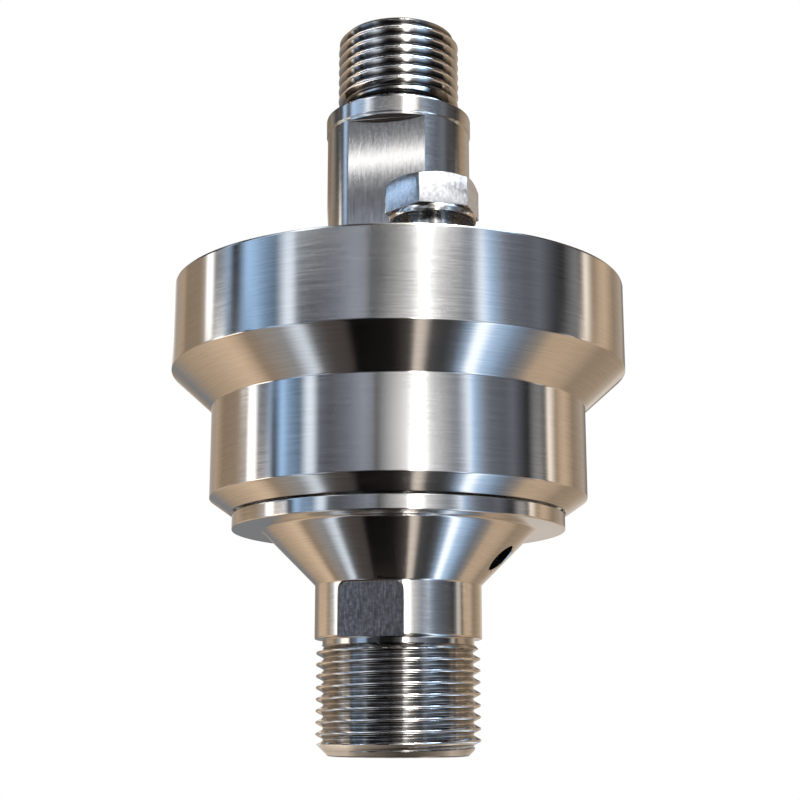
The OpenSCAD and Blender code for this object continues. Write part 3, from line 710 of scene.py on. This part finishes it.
def cover():
    """Inlet cover: closing disc, neck, collar and threaded end."""
    groove_z = (stack_top + head_top - COVER_THREAD - COVER_GROOVE) / 2
    groove_top = groove_z + COVER_GROOVE
    tube_hole, step = tube_seat + TUBE_HOLE, head_top - (COVER_THREAD - COVER_GAP)

    def limit(z):
        run_in = INLET_ROOT_R + (z - INLET_THREAD_Z) * RUN_IN_SLOPE
        return np.minimum(INLET_END_R + (end - z), run_in)

    rows = rounded([
        (INLET_MOUTH_R, end, 0.1), (INLET_BORE_R, end - INLET_MOUTH, 0),
        (INLET_BORE_R, tube_hole, 0), (TUBE_HOLE_R, tube_hole, 0),
        (TUBE_HOLE_R, tube_seat, 0), (FLANGE_HOLE_R, tube_seat, 0),
        (FLANGE_HOLE_R, cover_under, 0.1), (SPIGOT_BORE_R, cover_under, 0.1),
        (SPIGOT_BORE_R, stack_top, 0.1), (SPIGOT_R, stack_top, 0.1),
        (SPIGOT_R, groove_z, 0), (COVER_GROOVE_R, groove_z, 0),
        (COVER_GROOVE_R, groove_top, 0), (SPIGOT_R, groove_top, 0),
        (SPIGOT_R, step, 0), (COVER_R, step, 0), (COVER_R, head_top, 0.3),
        (UPPER_NECK_R, head_top, 0.25), (UPPER_NECK_R, COLLAR_Z, 0.12),
        (COLLAR_R, COLLAR_Z, 0.1), (COLLAR_R, COLLAR_TOP_Z, 0.15),
        (UNDERCUT_R, COLLAR_TOP_Z, 0.1), (UNDERCUT_R, UNDERCUT_Z, 0.1),
        (INLET_ROOT_R, INLET_THREAD_Z, 0),
    ])
    rows += thread_rows(INLET_THREAD_R, INLET_THREAD_Z, end, INLET_CREST_Z, limit)
    rows += [(INLET_END_R, end)]
    made = turned("cover_turned", rows)
    mill_flats(made, UPPER_FLATS)
    return made


def plug():
    """Grease plug around its own axis: chamfered hex head, washer flange, collar and shank."""
    top = node_z("grease_plug")[1]
    under = node_z("plug_seal_ring")[0] + PLUG["ring_lip"]
    hex_low = top - PLUG["head"]
    recess = under + PLUG["recess"]
    corner = PLUG["af"] / math.sqrt(3)
    edge, outer = PLUG["af"] / 2 - PLUG["face"], corner + OVERLAP
    drop = (outer - edge) * math.tan(math.radians(PLUG["chamfer"]))
    made = turned("plug_head", [
        (0, hex_low), (outer, hex_low), (outer, top - drop), (edge, top), (0, top),
    ])
    prism = drill((0, 0, hex_low - 0.5), (0, 0, top + 0.5), corner, corner, sides=6)
    prism.rotation_euler = (0, 0, math.radians(PLUG["turn"] - 90))
    cut(made, prism, "INTERSECT")
    soften(made, PLUG["soft"])
    base = turned("plug_base", rounded([
        (0, hex_low + OVERLAP, 0), (PLUG["inner_r"], hex_low + OVERLAP, 0),
        (PLUG["inner_r"], hex_low, 0), (PLUG["flange_r"], hex_low, 0.35),
        (PLUG["flange_r"], under, 0.3), (PLUG["recess_r"], under, 0.05),
        (PLUG["recess_r"], recess, 0), (PLUG["collar_r"], recess, 0),
        (PLUG["collar_r"], head_top + COVER_GAP, 0.15), (PLUG["shank_r"], head_top + COVER_GAP, 0.1),
        (PLUG["shank_r"], head_top - PLUG["shank"], 0.2),
        (PLUG["tip_r"], head_top - PLUG["tip"], 0), (0, head_top - PLUG["tip"], 0),
    ]))
    cut(made, base, "UNION")
    a = math.radians(PLUG["angle"])
    made.location = (PLUG["at_r"] * math.sin(a) * MM, -PLUG["at_r"] * math.cos(a) * MM, 0)
    return made


pieces = {
    "outlet_shaft": (shaft(), "outlet_side", [OUTLET_THREAD, LOWER_FLAT, HOLE_SHADE_STEEL]),
    "housing": (housing(), "inlet_side", []),
    "inlet_cover": (cover(), "inlet_side", [INLET_THREAD, UPPER_FLAT]),
    "grease_plug": (plug(), "inlet_side", [HEX]),
}
for node, (piece, body, looks) in pieces.items():
    piece.data.materials.clear()
    for look in [STEEL, *looks]:
        piece.data.materials.append(look)
    shade(piece)
    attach(piece, body)
    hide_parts(node)

shaft_piece, cover_piece = pieces["outlet_shaft"][0], pieces["inlet_cover"][0]
paint_heights(shaft_piece, OUTLET_LOOK_FROM, OUTLET_LOOK_TO, THREAD_SLOT)
paint_flats(shaft_piece, LOWER_FLATS)
paint_weep_hole(shaft_piece)
paint_heights(cover_piece, INLET_LOOK_FROM, end, THREAD_SLOT)
paint_flats(cover_piece, UPPER_FLATS)
plug_top = node_z("grease_plug")[1]
paint_heights(pieces["grease_plug"][0], plug_top - PLUG["head"] + 0.01, plug_top + 1, HEX_SLOT)

for node, look in NODE_LOOKS.items():
    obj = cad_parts[node]
    for slot in obj.material_slots:
        slot.material = look


# Studio

def to_linear(v):
    return v / 12.92 if v <= 0.04045 else ((v + 0.055) / 1.055) ** 2.4


def seen(colour, level):
    """The light of a card that shows on steel as the given display colour."""
    return tuple(to_linear(c * level) for c in colour)


TAN = (1.0, 0.88, 0.75)
WARM = (1.0, 0.95, 0.9)
WHITE = (1.0, 1.0, 1.0)
GREY = (0.97, 0.98, 1.0)
COOL = (0.88, 0.92, 1.0)
BLUE = (0.74, 0.86, 1.0)
DEEP = (0.68, 0.83, 1.0)
PALE = (0.91, 0.95, 1.0)
SOOT = (1.0, 0.93, 0.9)
SAND = (1.0, 0.92, 0.84)

# Upright cards and flags around the object, each (angle, its drift with height, colour, level).
# The lists after it hold (angle, colour, level). All were listed after the streaks that
# the photo shows on the steel, and changed until the render's streaks lay alike
WALL = [
    (-180, 0, TAN, 0.6), (-175, 7, WHITE, 1.1), (-166, 11, WARM, 0.66), (-157, 6, WARM, 0.56),
    (-148, 1, SAND, 0.57), (-141, 5, TAN, 0.63), (-129, -1, TAN, 0.5), (-113, -1, TAN, 0.54),
    (-102, -6, WARM, 0.66), (-99.5, -6.8, WHITE, 1.2), (-94.5, -7.4, WHITE, 1.2),
    (-91.8, -8, GREY, 0.44), (-86, -8, COOL, 0.5), (-82, -7.2, BLUE, 0.76),
    (-79, -6.6, COOL, 0.06), (-77, -5.6, COOL, 0.16), (-72, -4.8, DEEP, 1.0),
    (-67, -2.4, DEEP, 0.72), (-59, -1.6, DEEP, 0.42), (-53.5, -1.2, PALE, 1.0),
    (-50.5, -1.4, PALE, 0.96), (-47, -1.6, COOL, 0.4), (-40, -1, COOL, 0.34), (-30, 0, COOL, 0.48),
    (-20, 0, COOL, 0.64), (-15.5, 0.5, COOL, 0.58), (-13.4, 0.2, GREY, 0.36),
    (-12.9, 3.4, GREY, 0.3), (-12.4, 8.5, GREY, 0.5), (-5, 9.3, GREY, 0.7), (5, 4, WHITE, 0.96),
    (11, 0, WHITE, 1.12), (14.5, -0.8, WHITE, 1.12), (18.5, -2.8, GREY, 0.84),
    (21.5, -3.4, GREY, 0.78), (25.7, -6, GREY, 0.66), (30, -5, GREY, 0.55), (34.5, 0, COOL, 0.54),
    (38.5, -1.2, PALE, 0.8), (41.5, -1.2, PALE, 1.08), (43.5, -0.8, BLUE, 0.98),
    (46, 0, BLUE, 0.8), (51.5, 0, COOL, 0.53), (55, 0, COOL, 0.43), (64, 1, COOL, 0.38),
    (70, 1, COOL, 0.44), (75, 2, COOL, 0.33), (82, 4, GREY, 0.08), (87.5, 6.5, GREY, 0.48),
    (92, 4.5, GREY, 0.5), (96, 2.8, GREY, 0.34), (97.5, 3.4, WARM, 0.5), (100, 3.6, WARM, 1.06),
    (102, 3.4, WARM, 0.94), (105, 3.2, SAND, 0.7), (107.5, 3.3, TAN, 0.54), (112, 5, TAN, 0.7),
    (117, 5, TAN, 0.74), (129, 5, TAN, 0.52), (148, 3, SAND, 0.6), (158, 0, WARM, 0.44),
    (171, -1, GREY, 0.3), (180, 0, TAN, 0.6),
]
# The same studio close to the table, where the lower neck and the lower thread see it
LOW_WALL = [
    (-180, TAN, 0.6), (-155, WARM, 0.46), (-145, WARM, 0.5), (-135, TAN, 0.72), (-119, TAN, 0.76),
    (-109, TAN, 0.58), (-102, GREY, 0.68), (-98, GREY, 0.78), (-92, WARM, 1.3), (-81, WARM, 1.3),
    (-77, COOL, 0.3), (-71, COOL, 0.5), (-66, BLUE, 0.6), (-62, BLUE, 0.9), (-51, BLUE, 0.9),
    (-46, COOL, 0.3), (-32, COOL, 0.3), (-26, COOL, 0.12), (-10, GREY, 0.12), (0, GREY, 0.3),
    (6, GREY, 0.44), (8, WHITE, 2.2), (13.5, WHITE, 2.2), (15, WHITE, 1.1), (20, WHITE, 0.8),
    (26, GREY, 0.7), (31, COOL, 0.62), (41, COOL, 0.58), (50, COOL, 0.44), (62, COOL, 0.36),
    (72, COOL, 0.28), (79, COOL, 0.22), (84, COOL, 0.45), (88, WARM, 0.8), (92, WARM, 0.75),
    (96, TAN, 0.36), (103, TAN, 0.72), (112, TAN, 0.74), (124, TAN, 0.53), (132, TAN, 0.57),
    (148, TAN, 0.66), (160, WARM, 0.72), (180, TAN, 0.6),
]
# The same studio higher up, where the neck, the collar and the upper thread see it
HIGH_WALL = [
    (-180, TAN, 0.5), (-146, TAN, 0.44), (-131, WARM, 0.53), (-118, GREY, 0.25),
    (-107, COOL, 0.18), (-101, COOL, 0.3), (-96, BLUE, 0.9), (-93, BLUE, 0.88), (-89, COOL, 0.4),
    (-84, COOL, 0.4), (-78, BLUE, 0.92), (-66, BLUE, 0.82), (-57, BLUE, 0.76), (-49, PALE, 0.97),
    (-44, PALE, 0.7), (-36, COOL, 0.44), (-26, COOL, 0.36), (-14, GREY, 0.38), (-2, GREY, 0.5),
    (0, GREY, 0.52), (5, WHITE, 0.75), (10, WHITE, 1.12), (18, WHITE, 1.12), (24, WHITE, 1.0),
    (28, WHITE, 0.96), (32, GREY, 0.7), (37, COOL, 0.56), (46, COOL, 0.48), (62, COOL, 0.42),
    (76, COOL, 0.48), (86, GREY, 0.32), (97, GREY, 0.26), (108, GREY, 0.14), (118, TAN, 0.54),
    (134, TAN, 0.63), (147, WARM, 0.6), (180, TAN, 0.5),
]
# The top of the wall, which the upper thread sees
TOP_WALL = [
    (-180, TAN, 0.2), (-146, TAN, 0.24), (-120, WARM, 0.2), (-107, COOL, 0.16), (-101, COOL, 0.3),
    (-96, BLUE, 1.0), (-92, BLUE, 0.98), (-88, COOL, 0.3), (-82, COOL, 0.3), (-77, BLUE, 1.0),
    (-66, BLUE, 0.9), (-57, BLUE, 0.8), (-49, PALE, 1.1), (-44, PALE, 0.8), (-38, COOL, 0.3),
    (-26, COOL, 0.2), (-2, GREY, 0.24), (0, GREY, 0.26), (5, WHITE, 0.6), (9, WHITE, 1.14),
    (18, WHITE, 1.14), (26, WHITE, 1.0), (32, GREY, 0.6), (38, COOL, 0.5), (50, COOL, 0.4),
    (62, COOL, 0.34), (76, COOL, 0.4), (86, GREY, 0.28), (100, GREY, 0.14), (118, TAN, 0.22),
    (147, TAN, 0.26), (180, TAN, 0.2),
]
# The table by the foot, its angles counted around a point 20 mm behind the axis
TABLE = [
    (-180, GREY, 0.5), (-172, GREY, 0.42), (-150, GREY, 0.45), (-130, TAN, 0.6), (-108, TAN, 0.68),
    (-85, TAN, 0.79), (-78, TAN, 0.73), (-70, TAN, 0.53), (-60, WARM, 0.54), (-50, GREY, 0.54),
    (-44, PALE, 0.85), (-41, PALE, 0.9), (-36, GREY, 0.37), (-30, SOOT, 0.28), (-21.5, SOOT, 0.25),
    (-19, SOOT, 0.04), (-3, SOOT, 0.08), (0, SOOT, 0.15), (5.5, SOOT, 0.27), (7.5, WARM, 0.84),
    (10.5, WARM, 0.76), (13, GREY, 0.28), (20, GREY, 0.22), (25, COOL, 0.36), (30, BLUE, 0.78),
    (33, PALE, 1.14), (36, PALE, 1.12), (40, BLUE, 0.93), (50, BLUE, 0.64), (57, COOL, 0.47),
    (65, WARM, 0.51), (72, TAN, 0.69), (86, TAN, 0.7), (100, TAN, 0.65), (112, TAN, 0.55),
    (140, TAN, 0.58), (170, WARM, 0.68), (180, GREY, 0.5),
]
# The table right below the foot, which only the end chamfer sees. Its light is lowest in front, as
# painted shade of the foot's contact shadow on the table
FOOT = [
    (-180, SAND, 0.7), (-80, SAND, 0.72), (-60, SAND, 0.82), (-44, SAND, 0.86), (-34, SAND, 0.62),
    (-21, SAND, 0.5), (-8, SAND, 0.4), (0, SAND, 0.33), (12, SAND, 0.38), (24, SAND, 0.48),
    (36, SAND, 0.61), (46, SAND, 0.82), (64, SAND, 0.66), (90, SAND, 0.7), (180, SAND, 0.7),
]
# Strips of light that go on above the wall, which the upper thread's flanks see
CEILING = [
    (-180, TAN, 0.2), (-130, TAN, 0.26), (-105, SOOT, 0.26), (-88, COOL, 0.3), (-76, COOL, 0.36),
    (-62, PALE, 0.9), (-54, PALE, 1.25), (-46, PALE, 1.2), (-36, COOL, 0.6), (-26, SOOT, 0.24),
    (-14, SOOT, 0.24), (-6, WARM, 0.45), (0, WARM, 0.7), (8, WARM, 0.9), (13, WHITE, 1.8),
    (16, WHITE, 2.8), (21, WHITE, 2.8), (26, GREY, 1.2), (36, GREY, 0.95), (48, BLUE, 1.25),
    (60, BLUE, 1.1), (70, COOL, 0.5), (80, SOOT, 0.2), (94, SOOT, 0.2), (106, TAN, 0.5),
    (122, TAN, 0.5), (180, TAN, 0.2),
]
# The same overhead, which the lower thread's flanks see
OVERHEAD = [
    (-180, TAN, 0.3), (-140, TAN, 0.4), (-130, TAN, 0.5), (-121, WARM, 2.2), (-110, WARM, 2.2),
    (-103, COOL, 0.9), (-97, COOL, 0.8), (-90, BLUE, 1.6), (-80, BLUE, 1.5), (-73, SOOT, 0.3),
    (-62, SOOT, 0.12), (-30, SOOT, 0.1), (-18, SOOT, 0.3), (-6, GREY, 0.8), (0, GREY, 1.0),
    (8, WARM, 1.4), (14, WHITE, 3.5), (19, WHITE, 5.0), (31, WHITE, 5.0), (38, GREY, 1.8),
    (54, GREY, 1.2), (60, BLUE, 1.6), (66, BLUE, 3.2), (79, BLUE, 3.0), (84, SOOT, 0.3),
    (93, SOOT, 0.1), (106, SOOT, 0.12), (116, TAN, 0.5), (126, TAN, 0.8), (150, TAN, 0.6),
    (180, TAN, 0.3),
]
CARD_LIGHT = 1.65  # strength of all cards
CARD_R = 1.0  # distance of the wall from the axis, in metres
HOLE_IN_CARDS = 0.001  # radius of the small hole at the middle of a round card
TABLE_CENTRE = (0, 0.02, 0.0001)
FOOT_CENTRE = (0, 0, 0.0002)
FOOT_FROM, FOOT_TO = 0.008, 0.0145
FLOOR_HALF = 4.0  # half the floor's width, in metres
FLOOR_GLOW = 0.985  # share of the floor's white that is light of its own
SOFT_LIGHT = 0.7  # strength of the world where nothing shows it
LAMP_AIM = (0, 0, 0.06)
LENS, SENSOR, CAMERA_TILT = 65.6, 36.0, 12.22  # mm, mm, degrees
CAMERA_PLACE = (0.00027, -0.2385, 0.0063)
BODY_DRIFT, RING_DRIFT = -0.15, 1.25  # shares of the drift that the body and the ring see
# Heights on the wall between which one set of cards gives way to the next
LOW_FROM, LOW_TO = 0.12, 0.17
RING_FROM, RING_TO = 0.28, 0.33
HIGH_FROM, HIGH_TO = 0.425, 0.45
TOP_FROM, TOP_TO = 0.555, 0.575
WALL_TOP = 0.68
CEILING_EDGE = (0.9, WALL_TOP + 0.35)
CEILING_TOP = WALL_TOP + 0.6
WALL_SPLIT = 11  # a card of the wall's list that doesn't drift
FRONT = 0.5  # the front's place in a turn, which starts at the back
OVERHEAD_FROM, OVERHEAD_TO = 1.0, 1.06
ZENITH_FROM, ZENITH_TO, ZENITH_LEVEL = 1.2, 1.23, 1.3
# A long strip light that the upper flat mirrors: its height at the front, its slope over a whole
# turn, half its width and how soft its edges are, the angles between which it lies and how soft
# its ends are, as a share of a turn, and its level
STRIP = {
    "height": 0.5387, "slope": -0.78, "half": 0.0055, "soft": 0.005,
    "from": -46, "to": 2, "fade": 0.02, "level": 1.5,
}


def smooth_step(nodes, links, value, low, high):
    made = nodes.new("ShaderNodeMapRange")
    made.interpolation_type = "SMOOTHSTEP"
    links.new(value, made.inputs["Value"])
    made.inputs["From Min"].default_value = low
    made.inputs["From Max"].default_value = high
    return made.outputs[0]


def mix_colour(nodes, links, fac, a, b):
    made = nodes.new("ShaderNodeMix")
    made.data_type = "RGBA"
    links.new(fac, made.inputs["Factor"])
    links.new(a, made.inputs["A"])
    links.new(b, made.inputs["B"])
    return made.outputs["Result"]


def by_angle(nodes, links, turn, cards, split=0):
    """Colour by the angle around the axis, from two ramps that meet at the split, on a card."""
    halves = []
    for low, high in ((-180, split), (split, 180)):
        halves.append(ramp(nodes, links, turn, [
            (FRONT + at / 360, seen(colour, level))
            for at, colour, level in cards if low <= at <= high
        ]))
    right = math_node(nodes, links, "GREATER_THAN", turn, FRONT + split / 360)
    return mix_colour(nodes, links, right, halves[0], halves[1])


def drifted(share):
    """The wall's cards with that share of their drift."""
    return [(at + drift * share, colour, level) for at, drift, colour, level in WALL]


def card_light(name, colour_of):
    """Light whose colour comes from the place on the card."""
    made, nodes, links = node_tree(name)
    x, y, height = separate(nodes, links, object_place(nodes))
    behind = math_node(nodes, links, "MULTIPLY", y, -1.0)
    angle = math_node(nodes, links, "ARCTAN2", x, behind)
    from_front = math_node(nodes, links, "DIVIDE", angle, 2 * math.pi)
    turn = math_node(nodes, links, "ADD", from_front, FRONT)
    glow = nodes.new("ShaderNodeEmission")
    links.new(colour_of(nodes, links, turn, height), glow.inputs[0])
    glow.inputs[1].default_value = CARD_LIGHT
    surface(nodes, links, glow)
    return made


def window(nodes, links, value, low, high, soft):
    """One between low and high, with soft ends."""
    rise = smooth_step(nodes, links, value, low - soft, low + soft)
    fall = smooth_step(nodes, links, value, high + soft, high - soft)
    return math_node(nodes, links, "MULTIPLY", rise, fall)


def plain_light(nodes, links, level):
    made = nodes.new("ShaderNodeRGB")
    made.outputs[0].default_value = (*seen(WHITE, level), 1)
    return made.outputs[0]


def wall_colour(nodes, links, turn, height):
    """The wall's cards from the table up, with the strip light before them."""
    made = by_angle(nodes, links, turn, LOW_WALL)
    for low, high, cards, split in (
        (LOW_FROM, LOW_TO, drifted(BODY_DRIFT), WALL_SPLIT),
        (RING_FROM, RING_TO, drifted(RING_DRIFT), WALL_SPLIT),
        (HIGH_FROM, HIGH_TO, HIGH_WALL, 0),
        (TOP_FROM, TOP_TO, TOP_WALL, 0),
    ):
        above = by_angle(nodes, links, turn, cards, split)
        made = mix_colour(nodes, links, smooth_step(nodes, links, height, low, high), made, above)
    from_front = math_node(nodes, links, "SUBTRACT", turn, FRONT)
    rise = math_node(nodes, links, "MULTIPLY", from_front, STRIP["slope"])
    level = math_node(nodes, links, "ADD", height, rise)
    across = window(nodes, links, level, STRIP["height"] - STRIP["half"],
                    STRIP["height"] + STRIP["half"], STRIP["soft"])
    along = window(nodes, links, turn, FRONT + STRIP["from"] / 360, FRONT + STRIP["to"] / 360,
                   STRIP["fade"])
    strip = math_node(nodes, links, "MULTIPLY", across, along)
    return mix_colour(nodes, links, strip, made, plain_light(nodes, links, STRIP["level"]))


def same_at_every_height(cards):
    return lambda nodes, links, turn, height: by_angle(nodes, links, turn, cards)


def ceiling_colour(nodes, links, turn, height):
    """Strips above the wall, more of them overhead, and a white top."""
    made = by_angle(nodes, links, turn, CEILING)
    overhead = smooth_step(nodes, links, height, OVERHEAD_FROM, OVERHEAD_TO)
    made = mix_colour(nodes, links, overhead, made, by_angle(nodes, links, turn, OVERHEAD))
    zenith = smooth_step(nodes, links, height, ZENITH_FROM, ZENITH_TO)
    return mix_colour(nodes, links, zenith, made, plain_light(nodes, links, ZENITH_LEVEL))


def ring_mesh(name, rows, segments=180):
    """Surface between rings around the axis, each a radius and a height in metres."""
    verts, faces = [], []
    around = np.linspace(0, 2 * math.pi, segments, False)
    for r, z in rows:
        verts += [(r * math.cos(t), r * math.sin(t), z) for t in around]
    for i in range(len(rows) - 1):
        a, b = i * segments, (i + 1) * segments
        for j in range(segments):
            k = (j + 1) % segments
            faces.append((a + j, a + k, b + k, b + j))
    return new_object(name, verts, faces)


def reflector(name, rows, colour_of, place=(0, 0, 0)):
    """Card that only reflections see."""
    made = ring_mesh(name, rows)
    made.location = place
    made.data.materials.append(card_light(name + "_light", colour_of))
    made.visible_camera = False
    made.visible_diffuse = False
    made.visible_shadow = False
    made.visible_transmission = False


def where_shown(nodes, links):
    """One for what the camera sees straight, mirrored or through something, else nought."""
    path = nodes.new("ShaderNodeLightPath")
    shown = math_node(nodes, links, "MAXIMUM", path.outputs["Is Camera Ray"],
                      path.outputs["Is Glossy Ray"])
    return math_node(nodes, links, "MAXIMUM", shown, path.outputs["Is Transmission Ray"])


def mix_shader(nodes, links, share, a, b):
    made = nodes.new("ShaderNodeMixShader")
    links.new(share, made.inputs[0])
    links.new(a.outputs[0], made.inputs[1])
    links.new(b.outputs[0], made.inputs[2])
    return made


def studio_floor():
    h = FLOOR_HALF
    made = new_object("floor", [(-h, -h, 0), (h, -h, 0), (h, h, 0), (-h, h, 0)], [(0, 1, 2, 3)])
    material, nodes, links = node_tree("floor_white")
    matt = nodes.new("ShaderNodeBsdfDiffuse")
    matt.inputs[0].default_value = (0.9, 0.9, 0.9, 1)
    glow = nodes.new("ShaderNodeEmission")
    glow.inputs[1].default_value = 1.0
    share = math_node(nodes, links, "MULTIPLY", where_shown(nodes, links), FLOOR_GLOW)
    surface(nodes, links, mix_shader(nodes, links, share, matt, glow))
    made.data.materials.append(material)


def studio_world():
    """White where it is seen or mirrored, plain soft light elsewhere."""
    world = bpy.data.worlds.new("studio")
    world.use_nodes = True
    nodes, links = world.node_tree.nodes, world.node_tree.links
    nodes.clear()
    soft, white = nodes.new("ShaderNodeBackground"), nodes.new("ShaderNodeBackground")
    for background, strength in ((soft, SOFT_LIGHT), (white, 1.0)):
        background.inputs[0].default_value = (1, 1, 1, 1)
        background.inputs[1].default_value = strength
    mix = mix_shader(nodes, links, where_shown(nodes, links), soft, white)
    output = nodes.new("ShaderNodeOutputWorld")
    links.new(mix.outputs[0], output.inputs[0])
    bpy.context.scene.world = world


def lamp(name, place, size, power):
    """Square soft lamp that points at the middle of the fitting."""
    data = bpy.data.lights.new(name, "AREA")
    data.shape = "RECTANGLE"
    data.size = data.size_y = size
    data.energy = power
    made = linked(name, data)
    made.location = place
    made.rotation_mode = "QUATERNION"
    made.rotation_quaternion = (Vector(LAMP_AIM) - Vector(place)).to_track_quat("-Z", "Y")
    made.visible_glossy = False


def camera():
    """The photograph's view, from a little above the floor and tilted up."""
    data = bpy.data.cameras.new("camera")
    data.lens = LENS
    data.sensor_width = SENSOR
    data.clip_start, data.clip_end = 0.01, 20.0
    made = linked("camera", data)
    made.location = CAMERA_PLACE
    made.rotation_euler = (math.radians(90 + CAMERA_TILT), 0, 0)
    bpy.context.scene.camera = made


reflector("studio_wall", [(CARD_R, 0.0), (CARD_R, WALL_TOP)], wall_colour)
reflector("studio_ceiling", [(CARD_R, WALL_TOP), CEILING_EDGE, (HOLE_IN_CARDS, CEILING_TOP)],
          ceiling_colour)
reflector("studio_table", [(HOLE_IN_CARDS, 0.0), (CARD_R, 0.0)], same_at_every_height(TABLE),
          TABLE_CENTRE)
reflector("studio_foot", [(FOOT_FROM, 0.0), (FOOT_TO, 0.0)], same_at_every_height(FOOT),
          FOOT_CENTRE)
studio_floor()
studio_world()
lamp("key_lamp", (0.35, -0.8, 0.7), 0.5, 6)
lamp("fill_lamp", (-0.8, -0.3, 0.6), 0.6, 4)
camera()
bpy.context.scene.view_settings.view_transform = "Standard"
